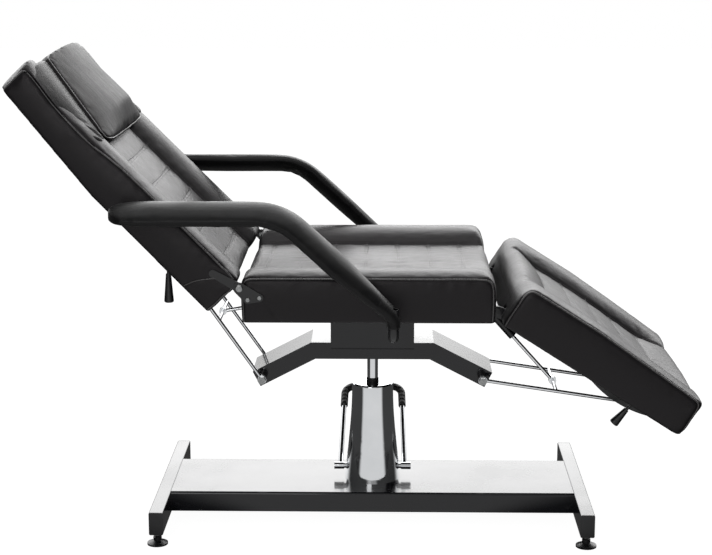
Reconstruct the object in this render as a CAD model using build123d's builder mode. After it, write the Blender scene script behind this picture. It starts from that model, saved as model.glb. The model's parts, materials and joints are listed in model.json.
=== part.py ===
from build123d import *
import math
import os

os.makedirs("parts", exist_ok=True)

# Hydraulic beauty chair: an H-shaped floor frame, a pedal pump in a chrome bell, a
# gull-wing beam on the pump's rod, and three pads (backrest, seat, leg rest) with two
# armrests. Millimetres. X runs from the head end to the foot end, Y across the chair
# with the near side at -Y, Z up from the floor.

# Shared clearances, and how far a cut runs past what it cuts
running_gap = 0.05
soft_gap = 0.3
loose_gap = 0.6
overrun = 5.0

# Where the pump column stands on the frame's X axis
column_x = 26.0

# Floor frame: two cross legs of box tube, joined by a folded platform
leg_outer_reach = 472.0
leg_half_length = 254.0
leg_width = 30.0
leg_height = 50.0
leg_top_z = 77.0
leg_wall = 2.5
leg_corner = 3.0
end_cap_thickness = 3.0
end_cap_plug = 10.0
platform_half_width = 118.0
platform_skirt = 44.0
platform_sheet = 4.0
platform_fold = 6.0
platform_rib_x = 90.0
platform_rib_depth = 30.0

# Levelling feet
foot_inset = 22.0
foot_disc_radius = 22.0
foot_disc_rim = 4.0
foot_dome_height = 9.0
foot_neck_radius = 9.0
foot_neck_height = 8.0
foot_stem_radius = 5.0
foot_stem_length = 44.0
foot_nut_across = 17.0
foot_nut_height = 6.0

# Pump, its rod and its chrome bell
pump_radius = 30.0
pump_height = 216.0
pump_flange_radius = 54.0
pump_flange_thickness = 8.0
pump_gland = 24.0
pump_bore_radius = 17.0
pump_floor = 34.0
bell_sheet = 1.5
bell_height = 221.0
bell_foot_radius = 61.5
bell_low_radius = 56.5
bell_waist_radius = 50.5
bell_rim_radius = 46.0
bell_low_share = 0.25
bell_waist_share = 0.525
bell_edge = 4.0
rod_radius = 12.0
rod_bottom_z = 162.0
wiper_radius = 14.0
wiper_height = 15.0
wiper_chamfer = 1.5
piston_head_height = 14.0

# Foot pedal: a bail on a shaft through the pump
pedal_shaft_z = 101.0
pedal_shaft_radius = 6.0
pedal_collar_radius = 8.0
pedal_collar_length = 22.0
pedal_half_width = 72.0
pedal_tip_half_width = 66.0
pedal_shaft_half_length = 86.0
pedal_reach = 202.0
pedal_rise = 128.0
pedal_rod_radius = 5.5
pedal_bend = 24.0
sleeve_wall = 3.0
sleeve_length = 36.0

# Gull-wing beam, an open channel folded from sheet
beam_top_z = 402.0
beam_depth = 37.0
beam_half_width = 62.0
beam_flat_half = 134.0
wing_length = 145.0
wing_angle = 27.4
beam_sheet = 4.0
hub_radius = 24.0
wing_pivot_inset = 16.0

# Saddle bracket between the beam and the seat
saddle_half_length = 91.0
saddle_sheet = 4.0
saddle_lap = 11.0
weld_leg = 4.0

# Seat
seat_bottom_z = 500.0
seat_rear_x = -266.0
seat_front_x = 254.0
seat_thickness = 98.0
seat_front_round = 32.0
seat_rear_round = 28.0
board_thickness = 16.0
board_inset = 12.0
rail_height = 20.0
rail_width = 30.0
rail_y = 48.0
rail_end_inset = 6.0
rail_wall = 2.5

# Upholstery section, the same on all three pads
pad_half_width = 300.0
skirt_width = 58.0
side_draw_in = 5.0
bolster_rise = 7.0
bolster_width = 92.0
panel_drop = 24.0
panel_crown = 5.0
slope_width = 34.0
channel_pitch = 70.0
channel_radius = 2.4
channel_depth = 1.2

# Backrest, measured up the back (s) and out of its face (n) from its hinge
back_hinge_x = -268.0
back_hinge_z = 575.0
back_angle = 46.1
back_end_gap = 6.0
back_rear_n = -84.0
back_bend_s = 344.0
back_taper_angle = 5.2
back_length = 621.0
back_neck_s = 525.0
back_seam_low_n = 9.0
back_seam_bend_n = 2.0
back_seam_neck_n = -3.0
back_seam_head_n = 12.0
back_low_round = 30.0
back_head_round = 22.0
back_plan_round = 40.0
recess_depth = 22.0
back_recess_end = 36.0

# Headrest pillow on the upper end of the back
pillow_low_s = 392.0
pillow_high_s = 609.0
pillow_half_width = 240.0
pillow_head_half_width = 168.0
pillow_side_low = 8.0
pillow_side_high = 26.0
pillow_crown_low = 16.0
pillow_crown_swell = 40.0
pillow_crown_high = 24.0
pillow_swell_share = 0.22
pillow_plan_round = 34.0

# Leg rest, measured down the pad (s) and out of its face (n) from its hinge
leg_hinge_x = 260.0
leg_hinge_z = 507.0
leg_angle = 32.6
leg_end_gap = 9.0
leg_pad_length = 452.0
leg_rear_n = -4.0
leg_seam_n = 95.0
leg_seam_tip_n = 82.0
leg_slope_s = 190.0
leg_bolster_rise = 1.5
leg_roll_s = 78.0
leg_roll_drop = 3.0
leg_tip_round = 20.0
leg_top_round = 30.0
leg_plan_round = 26.0
leg_recess_end = 12.0

# Side hinges between seat and back
hinge_sheet = 3.0
hinge_bolt_radius = 5.0
hinge_arm_length = 58.0
hinge_arm_radius = 10.0
hinge_arm_drop = 18.0
hinge_plate_radius = 12.0
hinge_clearance = 2.5
hinge_tab_radius = 8.0
hinge_screw_rear = 17.0
hinge_screw_front = 41.0
hinge_screw_rear_drop = 24.0
hinge_screw_front_drop = 20.0
screw_radius = 2.0
screw_head_radius = 4.5
screw_head_height = 2.2
bolt_head_radius = 8.0
bolt_head_height = 5.0
bolt_head_round = 3.0
screw_length = 12.0

# Hinge between seat and leg rest, under the pads
ear_sheet = 4.0
ear_inset = 98.0
ear_y = pad_half_width - ear_inset
ear_radius = 12.0
ear_length = 70.0
ear_height = 15.0
ear_notch = 4.0
leg_pin_radius = 5.0
leg_pin_head = 4.0

# Pivots in the wing tips, and the stays that run from them to the end pads
stay_y = 90.0
stay_radius = 4.0
stay_eye_radius = 9.5
stay_eye_width = 10.0
pivot_radius = 6.0
spacer_radius = 9.0
nut_radius = 9.0
nut_width = 11.0
nut_bore_depth = 9.0
crossbar_radius = 4.0

# The back stays slide in lock tubes. A tube's pivot lies on the circle round the back
# hinge that runs through the stay's pivot, so the stays turn half as far as the back.
back_stay_angle = 55.2
back_stay_length = 296.0
back_crossbar_at = 160.0
lock_tube_radius = 8.5
lock_tube_length = 198.0
lock_tube_tail = 11.0
lock_tube_stop = 12.0
lock_tube_slot = 52.0
lock_pin_radius = 5.0
bracket_sheet = 4.0
bracket_radius = 9.0

# The leg stays end in rollers that run in curved slots under the leg rest
leg_roller_from_tip = 61.07
leg_roller_n = -24.24
leg_stay_ratio = 1.15
leg_crossbar_at = 162.0
roller_radius = 7.0
roller_width = 12.0
guide_sheet = 4.0
guide_margin = 11.0
guide_gap = 2.0
leg_raise_range = 32.6
leg_lower_range = 9.4

# Chrome struts between the crossbars and the seat
strut_radius = 4.0
strut_eye_radius = 8.5
strut_eye_width = 12.0
back_strut_angle = 10.0
back_strut_length = 200.0
strut_block_length = 26.0
strut_block_width = 20.0
strut_block_height = 20.0
leg_strut_angle = 48.2
leg_strut_length = 163.0
strut_cylinder_radius = 9.0
strut_cylinder_length = 114.0
strut_cylinder_tail = 15.0
strut_bore_stop = 5.0
strut_ear_y = 14.0
strut_ear_radius = 9.0
strut_pin_radius = 4.0

# Release levers
lever_y = -160.0
lever_stem_radius = 3.5
lever_hub_radius = 8.0
lever_hub_width = 12.0
lever_pin_radius = 4.0
grip_root_radius = 5.5
grip_end_radius = 10.5
grip_socket_depth = 14.0
grip_round = 3.5
back_lever_s = 152.0
back_lever_n = -78.0
back_lever_lean = 46.1
back_lever_stem = 55.0
back_grip_length = 62.0
leg_lever_from_tip = 86.0
leg_lever_s = leg_pad_length - leg_lever_from_tip
leg_lever_n = 4.0
leg_lever_lean = 8.4
leg_lever_stem = 41.0
leg_grip_length = 42.0

# Armrests
arm_reach = 62.0
arm_y = pad_half_width + arm_reach
arm_tip_x = -520.0
arm_level_z = 737.5
arm_elbow_x = -180.5
arm_foot_x = 45.0
arm_foot_z = 531.0
arm_pad_end_z = 506.0
arm_elbow_bend = 120.0
arm_foot_bend = 50.0
arm_pad_width = 82.0
arm_pad_depth = 34.0
arm_pad_tilt = 20.0
arm_pad_round = 20.0
arm_pad_end_width = 40.0
arm_pad_end_depth = 28.0
arm_core_inset = 40.0
arm_tube_radius = 11.0
arm_tube_wall = 2.0
arm_tube_bend = 20.0
arm_tube_inner_y = 118.0
socket_z = 484.0
socket_radius = 14.5
socket_inset = 18.0
socket_outer_y = pad_half_width - socket_inset
clamp_screw_inset = 60.0
clamp_screw_y = pad_half_width - clamp_screw_inset
clamp_screw_radius = 4.0
clamp_head_radius = 6.5
clamp_head_height = 6.0
clamp_neck = 3.0


def polar(angle):
    """Cosine and sine of an angle in degrees."""
    return math.cos(math.radians(angle)), math.sin(math.radians(angle))


# Directions of the two hinged pads
back_cos, back_sin = polar(back_angle)
leg_cos, leg_sin = polar(leg_angle)
back_hinge = Vector(column_x + back_hinge_x, 0, back_hinge_z)
leg_hinge = Vector(column_x + leg_hinge_x, 0, leg_hinge_z)
back_up = Vector(-back_cos, 0, back_sin)
back_out = Vector(back_sin, 0, back_cos)
leg_down = Vector(leg_cos, 0, -leg_sin)
leg_out = Vector(leg_sin, 0, leg_cos)
across = Vector(0, 1, 0)

# Side planes: a sketch in one of these is an outline seen from the chair's side
seat_side = Plane(origin=(column_x, 0, 0), x_dir=(1, 0, 0), z_dir=(0, -1, 0))
back_side = Plane(origin=back_hinge, x_dir=back_up, z_dir=(0, 1, 0))
leg_side = Plane(origin=leg_hinge, x_dir=leg_down, z_dir=(0, -1, 0))


def back_point(s, n, y=0):
    """Point s up the backrest and n out of its face, from the back hinge."""
    return back_hinge + back_up * s + back_out * n + across * y


def leg_point(s, n, y=0):
    """Point s down the leg rest and n out of its face, from the leg hinge."""
    return leg_hinge + leg_down * s + leg_out * n + across * y


def rod_plane(start, direction):
    """Plane at the start of a rod, square to the rod."""
    return Plane(origin=start, x_dir=across, z_dir=direction)


def chord_end(centre, start, direction):
    """Where a line from start meets again the circle through start round centre."""
    return start - direction * (2 * (start - centre).dot(direction))


def rear_strip(start, end, near, far):
    """Outline of a strip along the back's bent rear face, between two depths below it."""
    slope = math.tan(math.radians(back_taper_angle))
    end_n = back_rear_n + (end - back_bend_s) * slope
    return [
        (start, back_rear_n + near),
        (back_bend_s, back_rear_n + near),
        (end, end_n + near),
        (end, end_n + far),
        (back_bend_s, back_rear_n + far),
        (start, back_rear_n + far),
    ]


def wing_line(depth, end_inset):
    """End and bend of the beam's right half, at a depth below its top face."""
    wing_cos, wing_sin = polar(wing_angle)
    reach = wing_length - end_inset
    bend_x = beam_flat_half - depth * math.tan(math.radians(wing_angle / 2))
    end = (
        beam_flat_half + reach * wing_cos - depth * wing_sin,
        beam_top_z - reach * wing_sin - depth * wing_cos,
    )
    return end, (bend_x, beam_top_z - depth)


def wing_outline(top_depth, bottom_depth, end_inset):
    """Closed gull-wing outline between two depths below the beam's top face."""
    top_end, top_bend = wing_line(top_depth, end_inset)
    low_end, low_bend = wing_line(bottom_depth, end_inset)
    right = [top_end, low_end, low_bend]
    left = [(-low_bend[0], low_bend[1]), (-low_end[0], low_end[1]), (-top_end[0], top_end[1])]
    return right + left + [(-top_bend[0], top_bend[1]), top_bend]


def pad_section(bottom_n, seam_n, rise=bolster_rise, drop=panel_drop):
    """Cross-section of a pad: drawn-in sides, two bolsters and a low, crowned panel."""
    crest_y = pad_half_width - bolster_width / 2
    inner_y = pad_half_width - bolster_width
    slope_y = inner_y - slope_width
    panel_n = seam_n - drop
    with BuildSketch() as section:
        with BuildLine():
            Line((0, bottom_n), (pad_half_width - side_draw_in, bottom_n))
            ThreePointArc(
                (pad_half_width - side_draw_in, bottom_n),
                (pad_half_width, (bottom_n + seam_n) / 2),
                (pad_half_width - side_draw_in / 2, seam_n),
            )
            ThreePointArc(
                (pad_half_width - side_draw_in / 2, seam_n),
                (crest_y, seam_n + rise),
                (inner_y, seam_n),
            )
            Line((inner_y, seam_n), (slope_y, panel_n))
            ThreePointArc(
                (slope_y, panel_n),
                (slope_y / 2, panel_n + panel_crown * 3 / 4),
                (0, panel_n + panel_crown),
            )
            Line((0, panel_n + panel_crown), (0, bottom_n))
        make_face()
        mirror(about=Plane.YZ)
    return section.sketch


def channel_places(start, end):
    """Places of the sewn channels between two ends, one pitch apart and centred."""
    count = int((end - start) / channel_pitch)
    first = (start + end - count * channel_pitch) / 2
    return [first + i * channel_pitch for i in range(count + 1)]


def channel_arc(panel_n):
    """Line of one sewn channel across a crowned panel, cut to the channel's depth."""
    half = pad_half_width - bolster_width - slope_width
    lift = channel_radius - channel_depth
    return ThreePointArc(
        (-half, panel_n + lift),
        (0, panel_n + panel_crown + lift),
        (half, panel_n + lift),
    )


def rim_plane(x, y, z):
    """Plane at a point, facing the near side, for outlines seen from the chair's side."""
    return Plane(origin=(column_x + x, y, z), x_dir=(1, 0, 0), z_dir=(0, -1, 0))


# Cross legs of the floor frame, box tube with a hole over each foot
leg_centre_z = leg_top_z - leg_height / 2
leg_centre_x = leg_outer_reach - leg_width / 2
leg_bottom_z = leg_top_z - leg_height
foot_y = leg_half_length - foot_inset
for end, end_name in ((-1, "head"), (1, "foot")):
    foot_x = column_x + end * leg_centre_x
    with BuildPart() as base_leg:
        with BuildSketch(Plane.XZ):
            with Locations((foot_x, leg_centre_z)):
                RectangleRounded(leg_width, leg_height, leg_corner)
                RectangleRounded(
                    leg_width - 2 * leg_wall,
                    leg_height - 2 * leg_wall,
                    leg_corner / 2,
                    mode=Mode.SUBTRACT,
                )
        extrude(amount=leg_half_length - end_cap_thickness, both=True)
        with BuildSketch(Plane.XY.offset(leg_bottom_z)):
            with Locations((foot_x, foot_y), (foot_x, -foot_y)):
                Circle(foot_stem_radius + running_gap)
        extrude(amount=2 * leg_wall, mode=Mode.SUBTRACT)
    base_leg.part.label = f"base_leg_{end_name}"
    export_step(base_leg.part, f"parts/base_leg_{end_name}.step")

# Plugs in the four open tube ends
with BuildPart() as leg_end_caps:
    for end in (-1, 1):
        for side in (-1, 1):
            cap_face = Plane(
                origin=(column_x + end * leg_centre_x, side * leg_half_length, leg_centre_z),
                x_dir=(1, 0, 0),
                z_dir=(0, -side, 0),
            )
            with BuildSketch(cap_face):
                RectangleRounded(leg_width, leg_height, leg_corner)
            extrude(amount=end_cap_thickness)
            with BuildSketch(cap_face.offset(end_cap_thickness)):
                RectangleRounded(
                    leg_width - 2 * leg_wall - 2 * running_gap,
                    leg_height - 2 * leg_wall - 2 * running_gap,
                    leg_corner / 2 - running_gap,
                )
            extrude(amount=end_cap_plug)
leg_end_caps.part.label = "leg_end_caps"
export_step(leg_end_caps.part, "parts/leg_end_caps.step")

# Folded platform between the cross legs, open underneath, with two ribs welded in
platform_half_length = leg_outer_reach - leg_width
platform_inner_width = 2 * (platform_half_width - platform_sheet)
rib_z = leg_top_z - platform_sheet - platform_rib_depth / 2
with BuildPart() as base_platform:
    with BuildSketch(Plane.YZ.offset(column_x)):
        with Locations((0, leg_top_z - platform_skirt / 2)):
            Rectangle(2 * platform_half_width, platform_skirt)
    extrude(amount=platform_half_length, both=True)
    top_edges = edges().filter_by(Axis.X).group_by(Axis.Z)[-1]
    fillet(top_edges, platform_fold)
    with BuildSketch(Plane.YZ.offset(column_x)):
        with Locations((0, leg_top_z - platform_sheet - platform_skirt / 2)):
            RectangleRounded(
                platform_inner_width, platform_skirt, platform_fold - platform_sheet
            )
    extrude(amount=platform_half_length + overrun, both=True, mode=Mode.SUBTRACT)
    with Locations(
        (column_x - platform_rib_x, 0, rib_z),
        (column_x + platform_rib_x, 0, rib_z),
    ):
        Box(platform_sheet, platform_inner_width, platform_rib_depth)
base_platform.part.label = "base_platform"
export_step(base_platform.part, "parts/base_platform.step")

# Levelling feet: a domed disc with a threaded stem that runs up through its locknut
foot_nut_z = leg_bottom_z - foot_nut_height
for end, end_name in ((-1, "head"), (1, "foot")):
    for side, side_name in ((-1, "near"), (1, "far")):
        foot_centre = rim_plane(end * leg_centre_x, side * foot_y, 0)
        neck_top = foot_dome_height + foot_neck_height
        with BuildPart() as leveller:
            with BuildSketch(foot_centre):
                with BuildLine():
                    Polyline(
                        (0, 0),
                        (foot_disc_radius, 0),
                        (foot_disc_radius, foot_disc_rim),
                        (foot_neck_radius, foot_dome_height),
                        (foot_neck_radius, neck_top),
                        (foot_stem_radius, neck_top),
                        (foot_stem_radius, foot_dome_height + foot_stem_length),
                        (0, foot_dome_height + foot_stem_length),
                        close=True,
                    )
                make_face()
            revolve(axis=Axis(foot_centre.origin, (0, 0, 1)))
        leveller.part.label = f"levelling_foot_{end_name}_{side_name}"
        export_step(leveller.part, f"parts/levelling_foot_{end_name}_{side_name}.step")

with BuildPart() as foot_locknuts:
    with BuildSketch(Plane.XY.offset(foot_nut_z)):
        with GridLocations(2 * leg_centre_x, 2 * foot_y, 2, 2):
            with Locations((column_x, 0)):
                RegularPolygon(foot_nut_across / 2, 6, major_radius=False)
                Circle(foot_stem_radius + running_gap, mode=Mode.SUBTRACT)
    extrude(amount=foot_nut_height)
foot_locknuts.part.label = "foot_locknuts"
export_step(foot_locknuts.part, "parts/foot_locknuts.step")

# Pump: flange, cylinder with its bore, gland at the top, cross hole for the pedal shaft
column_foot = rim_plane(0, 0, leg_top_z)
column_axis = Axis((column_x, 0, 0), (0, 0, 1))
pump_shaft_plane = Plane(origin=(column_x, 0, pedal_shaft_z), x_dir=across, z_dir=(1, 0, 0))
with BuildPart() as pump_body:
    with BuildSketch(column_foot):
        with BuildLine():
            Polyline(
                (0, 0),
                (pump_flange_radius, 0),
                (pump_flange_radius, pump_flange_thickness),
                (pump_radius, pump_flange_thickness),
                (pump_radius, pump_height),
                (rod_radius + running_gap, pump_height),
                (rod_radius + running_gap, pump_height - pump_gland),
                (pump_bore_radius, pump_height - pump_gland),
                (pump_bore_radius, pump_floor),
                (0, pump_floor),
                close=True,
            )
        make_face()
    revolve(axis=column_axis)
    with BuildSketch(pump_shaft_plane):
        Circle(pedal_shaft_radius + running_gap)
    extrude(amount=2 * pump_radius, both=True, mode=Mode.SUBTRACT)
pump_body.part.label = "pump_body"
export_step(pump_body.part, "parts/pump_body.step")


def bell_profile(inset):
    """Half outline of the chrome bell, inset by nothing or by its own sheet."""
    with BuildSketch(column_foot) as half:
        with BuildLine():
            Spline(
                (bell_foot_radius - inset, 0),
                (bell_low_radius - inset, bell_low_share * bell_height),
                (bell_waist_radius - inset, bell_waist_share * bell_height),
                (bell_rim_radius - inset, bell_height - bell_edge),
            )
            CenterArc(
                (bell_rim_radius - bell_edge, bell_height - bell_edge),
                bell_edge - inset,
                0,
                90,
            )
            Polyline(
                (bell_rim_radius - bell_edge, bell_height - inset),
                (0, bell_height - inset),
                (0, 0),
                (bell_foot_radius - inset, 0),
            )
        make_face()
    return half.sketch


# The chrome bell stands over the pump; the shaft and the wiper pass through it
with BuildPart() as pump_cover:
    add(bell_profile(0))
    revolve(axis=column_axis)
    add(bell_profile(bell_sheet))
    revolve(axis=column_axis, mode=Mode.SUBTRACT)
    with BuildSketch(Plane.XY.offset(leg_top_z + bell_height)):
        with Locations((column_x, 0)):
            Circle(wiper_radius + soft_gap)
    extrude(amount=-2 * bell_sheet, mode=Mode.SUBTRACT)
    with BuildSketch(pump_shaft_plane):
        Circle(pedal_shaft_radius + loose_gap)
    extrude(amount=bell_foot_radius + overrun, both=True, mode=Mode.SUBTRACT)
pump_cover.part.label = "pump_cover"
export_step(pump_cover.part, "parts/pump_cover.step")

# Wiper collar on the gland
pump_top_z = leg_top_z + pump_height
with BuildPart() as wiper_collar:
    with BuildSketch(Plane.XY.offset(pump_top_z)):
        with Locations((column_x, 0)):
            Circle(wiper_radius)
            Circle(rod_radius + running_gap, mode=Mode.SUBTRACT)
    extrude(amount=wiper_height)
    wiper_top_edge = faces().sort_by(Axis.Z)[-1].outer_wire().edges()
    chamfer(wiper_top_edge, wiper_chamfer)
wiper_collar.part.label = "wiper_collar"
export_step(wiper_collar.part, "parts/wiper_collar.step")

# Piston rod with its head, which stops under the gland
rod_top_z = beam_top_z - beam_sheet
with BuildPart() as piston_rod:
    with BuildSketch(Plane.XY.offset(rod_bottom_z)):
        with Locations((column_x, 0)):
            Circle(pump_bore_radius - running_gap)
    extrude(amount=piston_head_height)
    with BuildSketch(Plane.XY.offset(rod_bottom_z)):
        with Locations((column_x, 0)):
            Circle(rod_radius)
    extrude(amount=rod_top_z - rod_bottom_z)
piston_rod.part.label = "piston_rod"
export_step(piston_rod.part, "parts/piston_rod.step")

# Foot pedal: a shaft through the pump, a bent bail and a grip sleeve on its loop
with BuildPart() as pedal_shaft:
    with BuildSketch(pump_shaft_plane):
        Circle(pedal_shaft_radius)
    extrude(amount=pedal_shaft_half_length, both=True)
    for side in (-1, 1):
        collar_start = side * (pedal_shaft_half_length - pedal_collar_length)
        with BuildSketch(pump_shaft_plane.offset(collar_start)):
            Circle(pedal_collar_radius)
        extrude(amount=side * pedal_collar_length)
pedal_shaft.part.label = "pedal_shaft"
export_step(pedal_shaft.part, "parts/pedal_shaft.step")


def pedal_point(side, share):
    """Point on one of the bail's side rods, at a share of its way out from the shaft."""
    half_width = pedal_half_width + share * (pedal_tip_half_width - pedal_half_width)
    return Vector(
        column_x + side * half_width,
        share * pedal_reach,
        pedal_shaft_z + share * pedal_rise,
    )


bail_start = pedal_point(-1, 0)
bail_direction = (pedal_point(-1, 1) - bail_start).normalized()
bail_length = (pedal_point(-1, 1) - bail_start).length
sleeve_start = pedal_point(-1, 1 - (sleeve_length + pedal_bend) / bail_length)
sleeve_finish = pedal_point(1, 1 - (sleeve_length + pedal_bend) / bail_length)
with BuildPart() as pedal_bail:
    with BuildLine() as bail_path:
        FilletPolyline(
            bail_start,
            pedal_point(-1, 1),
            pedal_point(1, 1),
            pedal_point(1, 0),
            radius=pedal_bend,
        )
    with BuildSketch(rod_plane(bail_start, bail_direction)):
        Circle(pedal_rod_radius)
    sweep(path=bail_path.line)
    with BuildSketch(pump_shaft_plane):
        Circle(pedal_collar_radius)
    extrude(amount=pedal_shaft_half_length + overrun, both=True, mode=Mode.SUBTRACT)
pedal_bail.part.label = "pedal_bail"
export_step(pedal_bail.part, "parts/pedal_bail.step")

with BuildPart() as pedal_sleeve:
    with BuildLine() as sleeve_path:
        FilletPolyline(
            sleeve_start,
            pedal_point(-1, 1),
            pedal_point(1, 1),
            sleeve_finish,
            radius=pedal_bend,
        )
    with BuildSketch(rod_plane(sleeve_start, bail_direction)):
        Circle(pedal_rod_radius + sleeve_wall)
        Circle(pedal_rod_radius + running_gap, mode=Mode.SUBTRACT)
    sweep(path=sleeve_path.line)
pedal_sleeve.part.label = "pedal_sleeve"
export_step(pedal_sleeve.part, "parts/pedal_sleeve.step")

# Gull-wing beam: an inverted channel with closed wing ends and a pivot hole in each wing
wing_tip, wing_bend = wing_line(beam_depth / 2, wing_pivot_inset)
stay_pivot_x, stay_pivot_z = wing_tip
with BuildPart() as gull_wing_beam:
    with BuildSketch(seat_side):
        with BuildLine():
            Polyline(*wing_outline(0, beam_depth, 0), close=True)
        make_face()
    extrude(amount=beam_half_width, both=True)
    with BuildSketch(seat_side):
        with BuildLine():
            Polyline(*wing_outline(beam_sheet, beam_depth + overrun, beam_sheet), close=True)
        make_face()
    extrude(amount=beam_half_width - beam_sheet, both=True, mode=Mode.SUBTRACT)
    with BuildSketch(seat_side):
        with Locations((-stay_pivot_x, stay_pivot_z), (stay_pivot_x, stay_pivot_z)):
            Circle(pivot_radius + running_gap)
    extrude(amount=beam_half_width + overrun, both=True, mode=Mode.SUBTRACT)
gull_wing_beam.part.label = "gull_wing_beam"
export_step(gull_wing_beam.part, "parts/gull_wing_beam.step")

# Hub under the beam: it turns on the rod's upper end
with BuildPart() as swivel_hub:
    with BuildSketch(Plane.XY.offset(beam_top_z - beam_depth)):
        with Locations((column_x, 0)):
            Circle(hub_radius)
            Circle(rod_radius + running_gap, mode=Mode.SUBTRACT)
    extrude(amount=beam_depth - beam_sheet)
swivel_hub.part.label = "swivel_hub"
export_step(swivel_hub.part, "parts/swivel_hub.step")

# Saddle bracket: a box without a floor, its side walls lapping the beam, welded along
saddle_bottom_z = beam_top_z - saddle_lap
saddle_height = seat_bottom_z - saddle_bottom_z
with BuildPart() as saddle_bracket:
    with BuildSketch(Plane.XY.offset(saddle_bottom_z)):
        with Locations((column_x, 0)):
            Rectangle(2 * saddle_half_length, 2 * (beam_half_width + saddle_sheet))
    extrude(amount=saddle_height)
    with BuildSketch(Plane.XY.offset(saddle_bottom_z)):
        with Locations((column_x, 0)):
            Rectangle(2 * (saddle_half_length - saddle_sheet), 2 * beam_half_width)
    extrude(amount=saddle_height - saddle_sheet, mode=Mode.SUBTRACT)
    with BuildSketch(Plane.XY.offset(saddle_bottom_z)):
        with Locations((column_x, 0)):
            Rectangle(2 * (saddle_half_length + overrun), 2 * beam_half_width)
    extrude(amount=saddle_lap, mode=Mode.SUBTRACT)
    for side in (-1, 1):
        wall_y = side * beam_half_width
        with BuildSketch(Plane.YZ.offset(column_x)):
            with BuildLine():
                Polyline(
                    (wall_y, saddle_bottom_z),
                    (wall_y + side * saddle_sheet, saddle_bottom_z),
                    (wall_y, saddle_bottom_z - weld_leg),
                    close=True,
                )
            make_face()
        extrude(amount=saddle_half_length, both=True)
saddle_bracket.part.label = "saddle_bracket"
export_step(saddle_bracket.part, "parts/saddle_bracket.step")

# Seat frame: two box rails on the saddle and the plywood board they carry
seat_length = seat_front_x - seat_rear_x
seat_middle_x = column_x + (seat_front_x + seat_rear_x) / 2
board_bottom_z = seat_bottom_z + rail_height
board_half_width = pad_half_width - skirt_width - soft_gap
with BuildPart() as seat_rails:
    with BuildSketch(Plane.YZ.offset(seat_middle_x)):
        with Locations(
            (-rail_y, seat_bottom_z + rail_height / 2),
            (rail_y, seat_bottom_z + rail_height / 2),
        ):
            Rectangle(rail_width, rail_height)
            Rectangle(
                rail_width - 2 * rail_wall,
                rail_height - 2 * rail_wall,
                mode=Mode.SUBTRACT,
            )
    extrude(amount=seat_length / 2 - rail_end_inset, both=True)
seat_rails.part.label = "seat_rails"
export_step(seat_rails.part, "parts/seat_rails.step")

with BuildPart() as seat_board:
    with BuildSketch(Plane.XY.offset(board_bottom_z)):
        with Locations((seat_middle_x, 0)):
            Rectangle(seat_length - 2 * board_inset, 2 * board_half_width)
    extrude(amount=board_thickness)
seat_board.part.label = "seat_board"
export_step(seat_board.part, "parts/seat_board.step")

# Seat cushion: the pad section along the seat, its ends rounded by the side outline
seat_seam_z = seat_bottom_z + seat_thickness
seat_crest_z = seat_seam_z + bolster_rise
seat_rear_plane = Plane(origin=(column_x + seat_rear_x, 0, 0), x_dir=across, z_dir=(1, 0, 0))
recess_half_width = pad_half_width - skirt_width
hinge_screws_at = [
    (back_hinge_x + hinge_screw_rear, back_hinge_z - hinge_screw_rear_drop),
    (back_hinge_x + hinge_screw_front, back_hinge_z - hinge_screw_front_drop),
]
with BuildPart() as seat_cushion:
    add(seat_rear_plane * pad_section(seat_bottom_z, seat_seam_z))
    extrude(amount=seat_length, dir=(1, 0, 0))
    with BuildSketch(seat_side):
        with BuildLine():
            Polyline(
                (seat_rear_x, seat_crest_z),
                (seat_rear_x, seat_bottom_z),
                (seat_front_x, seat_bottom_z),
                (seat_front_x, seat_crest_z),
                close=True,
            )
        make_face()
        fillet(vertices().group_by(Axis.X)[-1].sort_by(Axis.Y)[-1], seat_front_round)
        fillet(vertices().group_by(Axis.X)[0].sort_by(Axis.Y)[-1], seat_rear_round)
    extrude(amount=pad_half_width + overrun, both=True, mode=Mode.INTERSECT)
    with BuildSketch(Plane.XY.offset(seat_bottom_z)):
        with Locations((seat_middle_x, 0)):
            Rectangle(seat_length + 2 * overrun, 2 * recess_half_width)
    extrude(amount=rail_height + board_thickness + soft_gap, mode=Mode.SUBTRACT)
    for side in (-1, 1):
        with BuildSketch(rim_plane(back_hinge_x, side * (pad_half_width + overrun), back_hinge_z)):
            Circle(hinge_plate_radius + hinge_clearance)
        extrude(
            amount=side * (overrun + hinge_sheet + 2 * soft_gap + loose_gap),
            mode=Mode.SUBTRACT,
        )
        with BuildSketch(rim_plane(0, side * (pad_half_width + overrun), 0)):
            with Locations(*hinge_screws_at):
                Circle(screw_radius + running_gap)
        extrude(amount=side * (overrun + screw_length), mode=Mode.SUBTRACT)
    for place in channel_places(seat_rear_x + seat_rear_round, seat_front_x - seat_front_round):
        channel_face = Plane(
            origin=(column_x + place, 0, 0), x_dir=across, z_dir=(1, 0, 0)
        )
        with BuildLine(channel_face) as channel_path:
            channel_arc(seat_seam_z - panel_drop)
        channel_line = channel_path.line
        with BuildSketch(rod_plane(channel_line @ 0, channel_line % 0)):
            Circle(channel_radius)
        sweep(path=channel_line, mode=Mode.SUBTRACT)
seat_cushion.part.label = "seat_cushion"
export_step(seat_cushion.part, "parts/seat_cushion.step")

# Backrest: sections along the back, joined, then ended by the side and front outlines
back_slope = math.tan(math.radians(back_taper_angle))
back_neck_rear_n = back_rear_n + (back_neck_s - back_bend_s) * back_slope
back_end_rear_n = back_rear_n + (back_length - back_bend_s) * back_slope
back_crest_n = back_seam_head_n + bolster_rise
back_recess_end_s = back_length - back_recess_end


def back_section(s, rear_n, seam_n):
    """The pad section across the backrest, s up from its hinge."""
    place = Plane(origin=back_point(s, 0), x_dir=-across, z_dir=back_up)
    return place * pad_section(rear_n, seam_n)


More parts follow.
